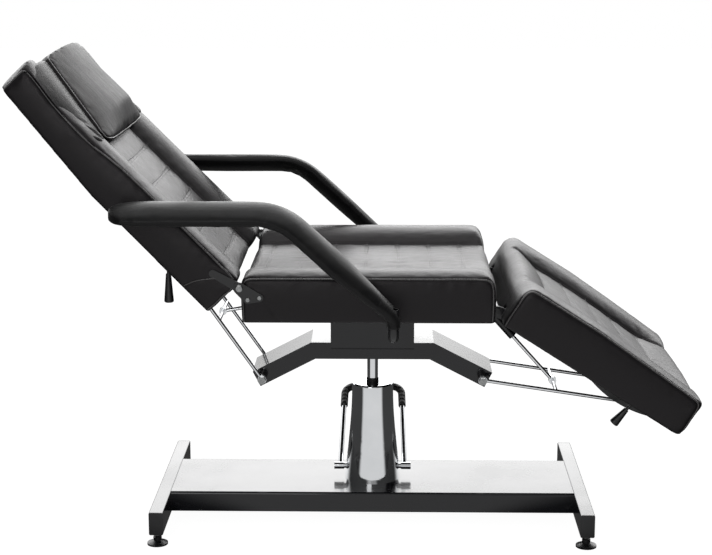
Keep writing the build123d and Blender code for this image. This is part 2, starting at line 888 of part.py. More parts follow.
def hinge_arm_outline(grow):
    """Outline of the hinge arm on the back's side, or of the pocket it lies in."""
    with BuildSketch() as outline:
        Circle(hinge_arm_radius + grow)
        with Locations((hinge_arm_length, -hinge_arm_drop)):
            Circle(hinge_tab_radius + grow)
        make_hull()
    return outline.sketch


with BuildPart() as back_form:
    add(back_section(back_end_gap, back_rear_n, back_seam_low_n))
    add(back_section(back_bend_s, back_rear_n, back_seam_bend_n))
    loft(ruled=True)
    add(back_section(back_bend_s, back_rear_n, back_seam_bend_n))
    add(back_section(back_neck_s, back_neck_rear_n, back_seam_neck_n))
    loft(ruled=True)
    add(back_section(back_neck_s, back_neck_rear_n, back_seam_neck_n))
    add(back_section(back_length, back_end_rear_n, back_seam_head_n))
    loft(ruled=True)
    with BuildSketch(back_side):
        with BuildLine():
            Polyline(
                (back_end_gap, back_rear_n),
                (back_length, back_rear_n),
                (back_length, back_crest_n),
                (back_end_gap, back_crest_n),
                close=True,
            )
        make_face()
        low_corner, high_corner = vertices().group_by(Axis.Y)[-1].sort_by(Axis.X)
        fillet(low_corner, back_low_round)
        fillet(high_corner, back_head_round)
    extrude(amount=pad_half_width + overrun, both=True, mode=Mode.INTERSECT)
    with BuildSketch(Plane(origin=back_point(0, back_rear_n), x_dir=across, z_dir=back_out)):
        with BuildLine():
            Polyline(
                (-pad_half_width - overrun, back_end_gap),
                (pad_half_width + overrun, back_end_gap),
                (pad_half_width + overrun, back_length),
                (-pad_half_width - overrun, back_length),
                close=True,
            )
        make_face()
        fillet(vertices().group_by(Axis.Y)[-1], back_plan_round)
    extrude(amount=back_crest_n - back_rear_n + overrun, mode=Mode.INTERSECT)

with BuildPart() as back_cushion:
    add(back_form.part)
    with BuildSketch(back_side):
        with BuildLine():
            Polyline(
                *rear_strip(
                    -overrun,
                    back_recess_end_s,
                    -recess_depth,
                    recess_depth + board_thickness + soft_gap,
                ),
                close=True,
            )
        make_face()
    extrude(amount=recess_half_width, both=True, mode=Mode.SUBTRACT)
    for side in (-1, 1):
        with BuildSketch(back_side.offset(side * (pad_half_width + overrun))):
            add(hinge_arm_outline(soft_gap))
        extrude(
            amount=-side * (overrun + hinge_sheet + 2 * soft_gap + loose_gap / 2),
            mode=Mode.SUBTRACT,
        )
    for place in channel_places(back_end_gap + back_low_round, pillow_low_s - channel_pitch / 2):
        seam_share = (place - back_end_gap) / (back_bend_s - back_end_gap)
        seam_n = back_seam_low_n + seam_share * (back_seam_bend_n - back_seam_low_n)
        channel_face = Plane(origin=back_point(place, 0), x_dir=-across, z_dir=back_up)
        with BuildLine(channel_face) as channel_path:
            channel_arc(seam_n - panel_drop)
        channel_line = channel_path.line
        with BuildSketch(rod_plane(channel_line @ 0, channel_line % 0)):
            Circle(channel_radius)
        sweep(path=channel_line, mode=Mode.SUBTRACT)
back_cushion.part.label = "back_cushion"
export_step(back_cushion.part, "parts/back_cushion.step")

# Plywood board let into the back's hollow rear, following its bend
with BuildPart() as back_board:
    with BuildSketch(back_side):
        with BuildLine():
            Polyline(
                *rear_strip(
                    back_end_gap + board_inset,
                    back_recess_end_s - soft_gap,
                    recess_depth,
                    recess_depth + board_thickness,
                ),
                close=True,
            )
        make_face()
    extrude(amount=board_half_width, both=True)
back_board.part.label = "back_board"
export_step(back_board.part, "parts/back_board.step")

# Headrest pillow: a wedge that swells toward the head and rests on the bolsters
pillow_length = pillow_high_s - pillow_low_s
pillow_swell_s = pillow_low_s + pillow_swell_share * pillow_length
pillow_swell_n = pillow_side_low + pillow_swell_share * (pillow_side_high - pillow_side_low)
pillow_swell_half = pillow_half_width - pillow_swell_share * (
    pillow_half_width - pillow_head_half_width
)
pillow_base_n = back_seam_neck_n - panel_drop


def pillow_section(s, half, side_n, crown_n):
    """Section across the pillow: upright sides and a crown that bulges between them."""
    place = Plane(origin=back_point(s, 0), x_dir=-across, z_dir=back_up)
    with BuildSketch() as section:
        with BuildLine():
            Line((-half, pillow_base_n), (half, pillow_base_n))
            Line((half, pillow_base_n), (half, side_n))
            ThreePointArc((half, side_n), (0, side_n + crown_n), (-half, side_n))
            Line((-half, side_n), (-half, pillow_base_n))
        make_face()
    return place * section.sketch


with BuildPart() as headrest_pillow:
    add(pillow_section(pillow_low_s, pillow_half_width, pillow_side_low, pillow_crown_low))
    add(pillow_section(pillow_swell_s, pillow_swell_half, pillow_swell_n, pillow_crown_swell))
    loft(ruled=True)
    add(pillow_section(pillow_swell_s, pillow_swell_half, pillow_swell_n, pillow_crown_swell))
    add(
        pillow_section(
            pillow_high_s, pillow_head_half_width, pillow_side_high, pillow_crown_high
        )
    )
    loft(ruled=True)
    with BuildSketch(Plane(origin=back_point(0, pillow_base_n), x_dir=across, z_dir=back_out)):
        with BuildLine():
            Polyline(
                (-pillow_half_width, pillow_low_s),
                (pillow_half_width, pillow_low_s),
                (pillow_head_half_width, pillow_high_s),
                (-pillow_head_half_width, pillow_high_s),
                close=True,
            )
        make_face()
        fillet(vertices(), pillow_plan_round)
    extrude(amount=pad_half_width, mode=Mode.INTERSECT)
    add(back_form.part.moved(Location(back_out * soft_gap)), mode=Mode.SUBTRACT)
headrest_pillow.part.label = "headrest_pillow"
export_step(headrest_pillow.part, "parts/headrest_pillow.step")

# Leg rest, made the same way
leg_crest_n = leg_seam_n + leg_bolster_rise
leg_recess_start_s = leg_end_gap + board_inset - soft_gap
strap_y = ear_y + ear_sheet + soft_gap
pin_end_y = strap_y + ear_sheet + soft_gap
ear_notch_width = pin_end_y + leg_pin_head - ear_y + 2 * ear_notch
ear_notch_y = (ear_y + pin_end_y + leg_pin_head) / 2
leg_recess_end_s = leg_pad_length - leg_recess_end


def leg_seam_at(s):
    """Height of the leg rest's seam at a place down the pad."""
    share = max(0, s - leg_slope_s) / (leg_pad_length - leg_slope_s)
    return leg_seam_n + share * (leg_seam_tip_n - leg_seam_n)


def leg_section(s, drop):
    """The pad section across the leg rest, s down from its hinge."""
    place = Plane(origin=leg_point(s, 0), x_dir=across, z_dir=leg_down)
    return place * pad_section(leg_rear_n, leg_seam_at(s), leg_bolster_rise, drop)


with BuildPart() as leg_cushion:
    leg_stations = [
        (leg_end_gap, leg_roll_drop),
        (leg_roll_s, panel_drop),
        (leg_slope_s, panel_drop),
        (leg_pad_length - leg_roll_s, panel_drop),
        (leg_pad_length, leg_roll_drop),
    ]
    for start, end in zip(leg_stations, leg_stations[1:]):
        add(leg_section(*start))
        add(leg_section(*end))
        loft(ruled=True)
    with BuildSketch(leg_side):
        with BuildLine():
            Polyline(
                (leg_end_gap, leg_rear_n),
                (leg_pad_length, leg_rear_n),
                (leg_pad_length, leg_crest_n),
                (leg_end_gap, leg_crest_n),
                close=True,
            )
        make_face()
        fillet(vertices().group_by(Axis.X)[-1].sort_by(Axis.Y)[0], leg_tip_round)
        fillet(vertices().group_by(Axis.X)[0].sort_by(Axis.Y)[-1], leg_top_round)
    extrude(amount=pad_half_width + overrun, both=True, mode=Mode.INTERSECT)
    with BuildSketch(Plane(origin=leg_point(0, leg_rear_n), x_dir=leg_down, z_dir=leg_out)):
        with BuildLine():
            Polyline(
                (leg_end_gap, -pad_half_width - overrun),
                (leg_pad_length, -pad_half_width - overrun),
                (leg_pad_length, pad_half_width + overrun),
                (leg_end_gap, pad_half_width + overrun),
                close=True,
            )
        make_face()
        fillet(vertices().group_by(Axis.X)[-1], leg_plan_round)
    extrude(amount=leg_crest_n - leg_rear_n + overrun, mode=Mode.INTERSECT)
    with BuildSketch(leg_side):
        with BuildLine():
            Polyline(
                (leg_recess_start_s, leg_rear_n - overrun),
                (leg_recess_end_s, leg_rear_n - overrun),
                (leg_recess_end_s, leg_rear_n + recess_depth + board_thickness + soft_gap),
                (leg_recess_start_s, leg_rear_n + recess_depth + board_thickness + soft_gap),
                close=True,
            )
        make_face()
    extrude(amount=recess_half_width, both=True, mode=Mode.SUBTRACT)
    with BuildSketch(Plane(origin=leg_point(0, leg_rear_n), x_dir=leg_down, z_dir=leg_out)):
        with Locations((leg_end_gap, -ear_notch_y), (leg_end_gap, ear_notch_y)):
            Rectangle(2 * (leg_recess_start_s + ear_notch - leg_end_gap), ear_notch_width)
    extrude(amount=recess_depth + ear_notch, mode=Mode.SUBTRACT)
    for place in channel_places(leg_roll_s, leg_pad_length - leg_roll_s):
        channel_face = Plane(origin=leg_point(place, 0), x_dir=across, z_dir=leg_down)
        with BuildLine(channel_face) as channel_path:
            channel_arc(leg_seam_at(place) - panel_drop)
        channel_line = channel_path.line
        with BuildSketch(rod_plane(channel_line @ 0, channel_line % 0)):
            Circle(channel_radius)
        sweep(path=channel_line, mode=Mode.SUBTRACT)
leg_cushion.part.label = "leg_cushion"
export_step(leg_cushion.part, "parts/leg_cushion.step")

leg_board_n = leg_rear_n + recess_depth
with BuildPart() as leg_board:
    with BuildSketch(leg_side):
        with Locations(
            ((leg_end_gap + board_inset + leg_recess_end_s - soft_gap) / 2,
             leg_board_n + board_thickness / 2)
        ):
            Rectangle(
                leg_recess_end_s - soft_gap - leg_end_gap - board_inset, board_thickness
            )
    extrude(amount=board_half_width, both=True)
leg_board.part.label = "leg_board"
export_step(leg_board.part, "parts/leg_board.step")

# Side hinges: plates on the seat, arms in shallow pockets of the back, a bolt each side
hinge_inner_y = pad_half_width + soft_gap
hinge_arm_y = hinge_inner_y - 2 * soft_gap
with BuildPart() as seat_hinge_plates:
    for side in (-1, 1):
        with BuildSketch(rim_plane(0, side * hinge_inner_y, 0)):
            with Locations((back_hinge_x, back_hinge_z)):
                Circle(hinge_plate_radius)
            with Locations(*hinge_screws_at):
                Circle(hinge_tab_radius)
            make_hull()
            with Locations((back_hinge_x, back_hinge_z)):
                Circle(hinge_bolt_radius + running_gap, mode=Mode.SUBTRACT)
            with Locations(*hinge_screws_at):
                Circle(screw_radius + running_gap, mode=Mode.SUBTRACT)
        extrude(amount=-side * hinge_sheet)
seat_hinge_plates.part.label = "seat_hinge_plates"
export_step(seat_hinge_plates.part, "parts/seat_hinge_plates.step")

with BuildPart() as back_hinge_arms:
    for side in (-1, 1):
        with BuildSketch(back_side.offset(side * hinge_arm_y)):
            add(hinge_arm_outline(0))
            Circle(hinge_bolt_radius + running_gap, mode=Mode.SUBTRACT)
        extrude(amount=-side * hinge_sheet)
back_hinge_arms.part.label = "back_hinge_arms"
export_step(back_hinge_arms.part, "parts/back_hinge_arms.step")

with BuildPart() as back_hinge_bolts:
    for side in (-1, 1):
        shank_face = rim_plane(back_hinge_x, side * (hinge_arm_y - hinge_sheet), back_hinge_z)
        head_face = rim_plane(back_hinge_x, side * (hinge_inner_y + hinge_sheet), back_hinge_z)
        with BuildSketch(shank_face):
            Circle(hinge_bolt_radius)
        extrude(amount=-side * 2 * (hinge_sheet + soft_gap))
        with BuildSketch(head_face):
            Circle(bolt_head_radius)
        extrude(amount=-side * bolt_head_height)
    rims = edges().filter_by(GeomType.CIRCLE).group_by(Axis.Y)
    fillet(rims[0] + rims[-1], bolt_head_round)
back_hinge_bolts.part.label = "back_hinge_bolts"
export_step(back_hinge_bolts.part, "parts/back_hinge_bolts.step")

with BuildPart() as hinge_screws:
    for side in (-1, 1):
        with BuildSketch(rim_plane(0, side * (pad_half_width - screw_length + soft_gap), 0)):
            with Locations(*hinge_screws_at):
                Circle(screw_radius)
        extrude(amount=-side * (screw_length + hinge_sheet))
        with BuildSketch(rim_plane(0, side * (hinge_inner_y + hinge_sheet), 0)):
            with Locations(*hinge_screws_at):
                Circle(screw_head_radius)
        extrude(amount=-side * screw_head_height)
    rims = edges().filter_by(GeomType.CIRCLE).group_by(Axis.Y)
    fillet(rims[0] + rims[-1], screw_head_height / 2)
hinge_screws.part.label = "hinge_screws"
export_step(hinge_screws.part, "parts/hinge_screws.step")

# Hinge of the leg rest: ears with pins under the seat, straps under the leg rest
seat_ear_start = leg_hinge_x - ear_length
seat_ear_end = seat_front_x - board_inset
leg_strap_start = leg_end_gap + board_inset
leg_strap_end = leg_strap_start + seat_ear_end - seat_ear_start
with BuildPart() as leg_hinge_ears:
    for side in (-1, 1):
        with BuildSketch(rim_plane(0, side * ear_y, 0)):
            with Locations((leg_hinge_x, leg_hinge_z)):
                Circle(ear_radius)
            with Locations(
                ((seat_ear_start + seat_ear_end) / 2, board_bottom_z - ear_height / 2)
            ):
                Rectangle(seat_ear_end - seat_ear_start, ear_height)
            make_hull()
        extrude(amount=-side * ear_sheet)
        with BuildSketch(rim_plane(leg_hinge_x, side * ear_y, leg_hinge_z)):
            Circle(leg_pin_radius)
        extrude(amount=-side * (pin_end_y - ear_y))
        with BuildSketch(rim_plane(leg_hinge_x, side * pin_end_y, leg_hinge_z)):
            Circle(bolt_head_radius)
        extrude(amount=-side * leg_pin_head)
leg_hinge_ears.part.label = "leg_hinge_ears"
export_step(leg_hinge_ears.part, "parts/leg_hinge_ears.step")

with BuildPart() as leg_hinge_straps:
    for side in (-1, 1):
        with BuildSketch(leg_side.offset(-side * strap_y)):
            Circle(ear_radius)
            with Locations(
                ((leg_strap_start + leg_strap_end) / 2, leg_board_n - ear_height / 2)
            ):
                Rectangle(leg_strap_end - leg_strap_start, ear_height)
            make_hull()
            Circle(leg_pin_radius + running_gap, mode=Mode.SUBTRACT)
        extrude(amount=-side * ear_sheet)
leg_hinge_straps.part.label = "leg_hinge_straps"
export_step(leg_hinge_straps.part, "parts/leg_hinge_straps.step")

# Pivots in the wing tips: a through shaft, two spacers and two blind nuts at each end
spacer_end_y = stay_y - stay_eye_width / 2 - soft_gap
nut_start_y = stay_y + stay_eye_width / 2 + soft_gap
pivots_at = [(-stay_pivot_x, stay_pivot_z), (stay_pivot_x, stay_pivot_z)]
with BuildPart() as pivot_shafts:
    with BuildSketch(seat_side):
        with Locations(*pivots_at):
            Circle(pivot_radius)
    extrude(amount=nut_start_y + nut_bore_depth, both=True)
pivot_shafts.part.label = "pivot_shafts"
export_step(pivot_shafts.part, "parts/pivot_shafts.step")

with BuildPart() as pivot_spacers:
    for side in (-1, 1):
        with BuildSketch(rim_plane(0, side * beam_half_width, 0)):
            with Locations(*pivots_at):
                Circle(spacer_radius)
                Circle(pivot_radius + running_gap, mode=Mode.SUBTRACT)
        extrude(amount=-side * (spacer_end_y - beam_half_width))
pivot_spacers.part.label = "pivot_spacers"
export_step(pivot_spacers.part, "parts/pivot_spacers.step")

with BuildPart() as pivot_nuts:
    for side in (-1, 1):
        with BuildSketch(rim_plane(0, side * nut_start_y, 0)):
            with Locations(*pivots_at):
                RegularPolygon(nut_radius, 6)
        extrude(amount=-side * nut_width)
        with BuildSketch(rim_plane(0, side * nut_start_y, 0)):
            with Locations(*pivots_at):
                Circle(pivot_radius + running_gap)
        extrude(amount=-side * (nut_bore_depth + running_gap), mode=Mode.SUBTRACT)
pivot_nuts.part.label = "pivot_nuts"
export_step(pivot_nuts.part, "parts/pivot_nuts.step")

# Stays: rods with an eye on the pivot, tied by a crossbar coped to them
back_stay_cos, back_stay_sin = polar(back_stay_angle)
back_stay_pivot = Vector(column_x - stay_pivot_x, 0, stay_pivot_z)
leg_stay_pivot = Vector(column_x + stay_pivot_x, 0, stay_pivot_z)
back_stay_way = Vector(-back_stay_cos, 0, back_stay_sin)
leg_roller_centre = (
    leg_hinge + leg_down * (leg_pad_length - leg_roller_from_tip) + leg_out * leg_roller_n
)
leg_stay_length = (leg_roller_centre - leg_stay_pivot).length
leg_stay_way = (leg_roller_centre - leg_stay_pivot).normalized()
leg_stay_angle = math.degrees(math.atan2(-leg_stay_way.Z, leg_stay_way.X))
back_crossbar_centre = back_stay_pivot + back_stay_way * back_crossbar_at
leg_crossbar_centre = leg_stay_pivot + leg_stay_way * leg_crossbar_at
with BuildPart() as back_stay_rods:
    for side in (-1, 1):
        eye_face = rim_plane(-stay_pivot_x, side * stay_y, stay_pivot_z)
        with BuildSketch(rod_plane(back_stay_pivot + across * side * stay_y, back_stay_way)):
            Circle(stay_radius)
        extrude(amount=back_stay_length)
        with BuildSketch(eye_face):
            Circle(stay_eye_radius)
        extrude(amount=stay_eye_width / 2, both=True)
        with BuildSketch(eye_face):
            Circle(pivot_radius + running_gap)
        extrude(amount=stay_eye_width, both=True, mode=Mode.SUBTRACT)
back_stay_rods.part.label = "back_stay_rods"
export_step(back_stay_rods.part, "parts/back_stay_rods.step")

with BuildPart() as leg_stay_rods:
    for side in (-1, 1):
        eye_face = rim_plane(stay_pivot_x, side * stay_y, stay_pivot_z)
        with BuildSketch(rod_plane(leg_stay_pivot + across * side * stay_y, leg_stay_way)):
            Circle(stay_radius)
        extrude(amount=leg_stay_length)
        with BuildSketch(eye_face):
            Circle(stay_eye_radius)
        extrude(amount=stay_eye_width / 2, both=True)
        with BuildSketch(eye_face):
            Circle(pivot_radius + running_gap)
        extrude(amount=stay_eye_width, both=True, mode=Mode.SUBTRACT)
        with BuildSketch(
            Plane(origin=leg_roller_centre + across * side * stay_y, z_dir=across * side)
        ):
            Circle(roller_radius)
        extrude(amount=roller_width)
leg_stay_rods.part.label = "leg_stay_rods"
export_step(leg_stay_rods.part, "parts/leg_stay_rods.step")

for name, centre, way in (
    ("back", back_crossbar_centre, back_stay_way),
    ("leg", leg_crossbar_centre, leg_stay_way),
):
    with BuildPart() as stay_crossbar:
        with BuildSketch(Plane(origin=centre, z_dir=across)):
            Circle(crossbar_radius)
        extrude(amount=stay_y, both=True)
        for side in (-1, 1):
            with BuildSketch(rod_plane(centre + across * side * stay_y, way)):
                Circle(stay_radius)
            extrude(amount=stay_eye_radius, both=True, mode=Mode.SUBTRACT)
    stay_crossbar.part.label = f"{name}_stay_crossbar"
    export_step(stay_crossbar.part, f"parts/{name}_stay_crossbar.step")

# Lock tubes: they take the back stays, and a slot on the inner side clears the crossbar
lock_pivot = chord_end(back_hinge, back_stay_pivot, back_stay_way)
lock_s = (lock_pivot - back_hinge).dot(back_up)
lock_n = (lock_pivot - back_hinge).dot(back_out)
tube_below = lock_tube_length - lock_tube_tail
with BuildPart() as back_lock_tubes:
    for side in (-1, 1):
        tube_foot = lock_pivot - back_stay_way * tube_below + across * side * stay_y
        with BuildSketch(rod_plane(tube_foot, back_stay_way)):
            Circle(lock_tube_radius)
        extrude(amount=lock_tube_length)
        with BuildSketch(rod_plane(tube_foot, back_stay_way)):
            Circle(stay_radius + running_gap)
        extrude(amount=tube_below - lock_tube_stop, mode=Mode.SUBTRACT)
        with BuildSketch(rod_plane(tube_foot, back_stay_way)):
            with Locations((-side * lock_tube_radius, 0)):
                Rectangle(2 * lock_tube_radius, 2 * (crossbar_radius + loose_gap))
        extrude(amount=lock_tube_slot, mode=Mode.SUBTRACT)
        with BuildSketch(Plane(origin=lock_pivot + across * side * stay_y, z_dir=across)):
            Circle(lock_pin_radius + running_gap)
        extrude(amount=2 * lock_tube_radius, both=True, mode=Mode.SUBTRACT)
back_lock_tubes.part.label = "back_lock_tubes"
export_step(back_lock_tubes.part, "parts/back_lock_tubes.step")

# Brackets that carry the lock tubes under the back board, each with its pin
back_board_n = back_rear_n + recess_depth
lock_ear_gap = lock_tube_radius + loose_gap
with BuildPart() as back_lock_brackets:
    for side in (-1, 1):
        bracket_middle = back_side.offset(side * stay_y)
        with BuildSketch(bracket_middle):
            with Locations((lock_s, back_board_n - bracket_sheet / 2)):
                Rectangle(2 * (bracket_radius + bracket_sheet), bracket_sheet)
            with Locations((lock_s, lock_n)):
                Circle(bracket_radius)
            make_hull()
        extrude(amount=lock_ear_gap + bracket_sheet, both=True)
        with BuildSketch(bracket_middle):
            with Locations((lock_s, back_board_n - bracket_sheet - bracket_radius * 2)):
                Rectangle(pad_half_width, bracket_radius * 4)
        extrude(amount=lock_ear_gap, both=True, mode=Mode.SUBTRACT)
        with BuildSketch(bracket_middle):
            with Locations((lock_s, lock_n)):
                Circle(lock_pin_radius)
        extrude(amount=lock_ear_gap + bracket_sheet, both=True)
back_lock_brackets.part.label = "back_lock_brackets"
export_step(back_lock_brackets.part, "parts/back_lock_brackets.step")


def roller_place(turn):
    """Roller centre seen from the leg rest, once the rest has come down by turn degrees."""
    stay_cos, stay_sin = polar(leg_stay_angle + turn * leg_stay_ratio)
    down_cos, down_sin = polar(leg_angle + turn)
    away = leg_stay_pivot + Vector(stay_cos, 0, -stay_sin) * leg_stay_length - leg_hinge
    return (
        away.dot(Vector(down_cos, 0, -down_sin)),
        away.dot(Vector(down_sin, 0, down_cos)),
    )


# Guide plates under the leg rest, each with the curved slot that its roller runs in
slot_start = roller_place(-leg_raise_range)
slot_middle = roller_place((leg_lower_range - leg_raise_range) / 2)
slot_end = roller_place(leg_lower_range)
guide_y = stay_y + stay_radius + guide_gap
guide_half_height = roller_radius + guide_margin
with BuildPart() as leg_guide_plates:
    for side in (-1, 1):
        with BuildSketch(leg_side.offset(-side * guide_y)):
            with BuildLine() as slot_line:
                slot_arc = ThreePointArc(slot_start, slot_middle, slot_end)
            SlotArc(slot_arc, 2 * guide_half_height)
            with Locations(
                ((slot_start[0] + slot_end[0]) / 2, (slot_start[1] + leg_board_n) / 2)
            ):
                Rectangle(
                    slot_end[0] - slot_start[0] + 2 * guide_margin,
                    leg_board_n - slot_start[1],
                )
            SlotArc(slot_arc, 2 * (roller_radius + loose_gap), mode=Mode.SUBTRACT)
        extrude(amount=-side * guide_sheet)
leg_guide_plates.part.label = "leg_guide_plates"
export_step(leg_guide_plates.part, "parts/leg_guide_plates.step")

# Strut from the back crossbar: a rod that slides through a block on trunnions
back_strut_cos, back_strut_sin = polar(back_strut_angle)
leg_strut_cos, leg_strut_sin = polar(leg_strut_angle)
back_strut_way = Vector(back_strut_cos, 0, back_strut_sin)
leg_strut_way = Vector(-leg_strut_cos, 0, leg_strut_sin)
back_strut_pivot = chord_end(back_stay_pivot, back_crossbar_centre, back_strut_way)
leg_strut_pivot = chord_end(leg_stay_pivot, leg_crossbar_centre, leg_strut_way)
for name, centre, way, length in (
    ("back", back_crossbar_centre, back_strut_way, back_strut_length),
    ("leg", leg_crossbar_centre, leg_strut_way, leg_strut_length),
):
    with BuildPart() as strut_rod:
        with BuildSketch(rod_plane(centre, way)):
            Circle(strut_radius)
        extrude(amount=length)
        with BuildSketch(Plane(origin=centre, z_dir=across)):
            Circle(strut_eye_radius)
        extrude(amount=strut_eye_width / 2, both=True)
        with BuildSketch(Plane(origin=centre, z_dir=across)):
            Circle(crossbar_radius + running_gap)
        extrude(amount=strut_eye_width, both=True, mode=Mode.SUBTRACT)
    strut_rod.part.label = f"{name}_strut_rod"
    export_step(strut_rod.part, f"parts/{name}_strut_rod.step")

trunnion_end_y = strut_ear_y + bracket_sheet
with BuildPart() as back_strut_block:
    with BuildSketch(rod_plane(back_strut_pivot, back_strut_way)):
        RectangleRounded(strut_block_width, strut_block_height, strut_radius / 2)
    extrude(amount=strut_block_length / 2, both=True)
    with BuildSketch(Plane(origin=back_strut_pivot, z_dir=across)):
        Circle(strut_pin_radius)
    extrude(amount=trunnion_end_y, both=True)
    with BuildSketch(rod_plane(back_strut_pivot, back_strut_way)):
        Circle(strut_radius + running_gap)
    extrude(amount=strut_block_length, both=True, mode=Mode.SUBTRACT)
back_strut_block.part.label = "back_strut_block"
export_step(back_strut_block.part, "parts/back_strut_block.step")

with BuildPart() as leg_strut_cylinder:
    with BuildSketch(rod_plane(leg_strut_pivot + leg_strut_way * strut_cylinder_tail, -leg_strut_way)):
        Circle(strut_cylinder_radius)
    extrude(amount=strut_cylinder_tail + strut_cylinder_length)
    with BuildSketch(Plane(origin=leg_strut_pivot, z_dir=across)):
        Circle(strut_pin_radius)
    extrude(amount=trunnion_end_y, both=True)
    with BuildSketch(rod_plane(leg_strut_pivot - leg_strut_way * strut_bore_stop, -leg_strut_way)):
        Circle(strut_radius + running_gap)
    extrude(amount=strut_cylinder_length, mode=Mode.SUBTRACT)
leg_strut_cylinder.part.label = "leg_strut_cylinder"
export_step(leg_strut_cylinder.part, "parts/leg_strut_cylinder.step")

with BuildPart() as strut_brackets:
    for pivot in (back_strut_pivot, leg_strut_pivot):
        with BuildSketch(Plane.XZ):
            with Locations((pivot.X, board_bottom_z - bracket_sheet / 2)):
                Rectangle(2 * (strut_ear_radius + bracket_sheet), bracket_sheet)
            with Locations((pivot.X, pivot.Z)):
                Circle(strut_ear_radius)
            make_hull()
        extrude(amount=trunnion_end_y, both=True)
        with BuildSketch(Plane.XZ):
            with Locations((pivot.X, pivot.Z - bracket_sheet)):
                Rectangle(
                    pad_half_width,
                    2 * (board_bottom_z - pivot.Z),
                )
        extrude(amount=strut_ear_y, both=True, mode=Mode.SUBTRACT)
        with BuildSketch(Plane.XZ):
            with Locations((pivot.X, pivot.Z)):
                Circle(strut_pin_radius + running_gap)
        extrude(amount=2 * strut_ear_y, both=True, mode=Mode.SUBTRACT)
strut_brackets.part.label = "strut_brackets"
export_step(strut_brackets.part, "parts/strut_brackets.step")

# Release levers under the back and the leg rest: bracket, stem with its hub, and grip
lever_ear_gap = lever_hub_width / 2 + soft_gap
for name, face, s, n, board_n, lean, stem_length, grip_length in (
    (
        "back", back_side, back_lever_s, back_lever_n, back_board_n,
        back_lever_lean, back_lever_stem, back_grip_length,
    ),
    (
        "leg", leg_side, leg_lever_s, leg_lever_n, leg_board_n,
        leg_lever_lean, leg_lever_stem, leg_grip_length,
    ),
):
    lean_cos, lean_sin = polar(lean)
    lever_way = -face.x_dir * lean_sin - face.y_dir * lean_cos
    lever_pivot = face.origin + face.x_dir * s + face.y_dir * n + across * lever_y
    grip_start = lever_pivot + lever_way * stem_length
    hub_face = Plane(origin=lever_pivot, x_dir=face.x_dir, z_dir=face.z_dir)
    with BuildPart() as lever_bracket:
        with BuildSketch(hub_face):
            with Locations((0, board_n - n - bracket_sheet / 2)):
                Rectangle(2 * (lever_hub_radius + bracket_sheet), bracket_sheet)
            Circle(lever_hub_radius)
            make_hull()
        extrude(amount=lever_ear_gap + bracket_sheet, both=True)
        with BuildSketch(hub_face):
            with Locations((0, board_n - n - bracket_sheet - 2 * lever_hub_radius)):
                Rectangle(pad_half_width, 4 * lever_hub_radius)
        extrude(amount=lever_ear_gap, both=True, mode=Mode.SUBTRACT)
        with BuildSketch(hub_face):
            Circle(lever_pin_radius)
        extrude(amount=lever_ear_gap + bracket_sheet, both=True)
    lever_bracket.part.label = f"{name}_lever_bracket"
    export_step(lever_bracket.part, f"parts/{name}_lever_bracket.step")

    with BuildPart() as lever_stem:
        with BuildSketch(rod_plane(lever_pivot, lever_way)):
            Circle(lever_stem_radius)
        extrude(amount=stem_length + grip_socket_depth)
        with BuildSketch(hub_face):
            Circle(lever_hub_radius)
        extrude(amount=lever_hub_width / 2, both=True)
        with BuildSketch(hub_face):
            Circle(lever_pin_radius + running_gap)
        extrude(amount=lever_hub_width, both=True, mode=Mode.SUBTRACT)
    lever_stem.part.label = f"{name}_lever_stem"
    export_step(lever_stem.part, f"parts/{name}_lever_stem.step")

    with BuildPart() as lever_grip:
        with Locations(rod_plane(grip_start, lever_way)):
            Cone(
                grip_root_radius,
                grip_end_radius,
                grip_length,
                align=(Align.CENTER, Align.CENTER, Align.MIN),
            )
        grip_end = edges().filter_by(GeomType.CIRCLE).sort_by(SortBy.LENGTH)[-1]
        fillet(grip_end, grip_round)
        with BuildSketch(rod_plane(grip_start, lever_way)):
            Circle(lever_stem_radius + running_gap)
        extrude(amount=grip_socket_depth + running_gap, mode=Mode.SUBTRACT)
    lever_grip.part.label = f"{name}_lever_grip"
    export_step(lever_grip.part, f"parts/{name}_lever_grip.step")

# Sockets welded to the saddle's side walls, for the armrest tubes
socket_start_y = beam_half_width + saddle_sheet
with BuildPart() as arm_sockets:
    for side in (-1, 1):
        with BuildSketch(rim_plane(arm_foot_x, side * socket_start_y, socket_z)):
            Circle(socket_radius)
            Circle(arm_tube_radius + running_gap, mode=Mode.SUBTRACT)
        extrude(amount=-side * (socket_outer_y - socket_start_y))
    with BuildSketch(Plane.XY.offset(socket_z)):
        with Locations(
            (column_x + arm_foot_x, clamp_screw_y), (column_x + arm_foot_x, -clamp_screw_y)
        ):
            Circle(clamp_screw_radius + running_gap)
    extrude(amount=-2 * socket_radius, mode=Mode.SUBTRACT)
arm_sockets.part.label = "arm_sockets"
export_step(arm_sockets.part, "parts/arm_sockets.step")

clamp_tip_z = socket_z - arm_tube_radius - running_gap
clamp_head_z = socket_z - socket_radius - clamp_neck
with BuildPart() as arm_clamp_screws:
    for side in (-1, 1):
        with BuildSketch(Plane.XY.offset(clamp_tip_z)):
            with Locations((column_x + arm_foot_x, side * clamp_screw_y)):
                Circle(clamp_screw_radius)
        extrude(amount=clamp_head_z - clamp_tip_z)
        with BuildSketch(Plane.XY.offset(clamp_head_z)):
            with Locations((column_x + arm_foot_x, side * clamp_screw_y)):
                RegularPolygon(clamp_head_radius, 6)
        extrude(amount=-clamp_head_height)
arm_clamp_screws.part.label = "arm_clamp_screws"
export_step(arm_clamp_screws.part, "parts/arm_clamp_screws.step")

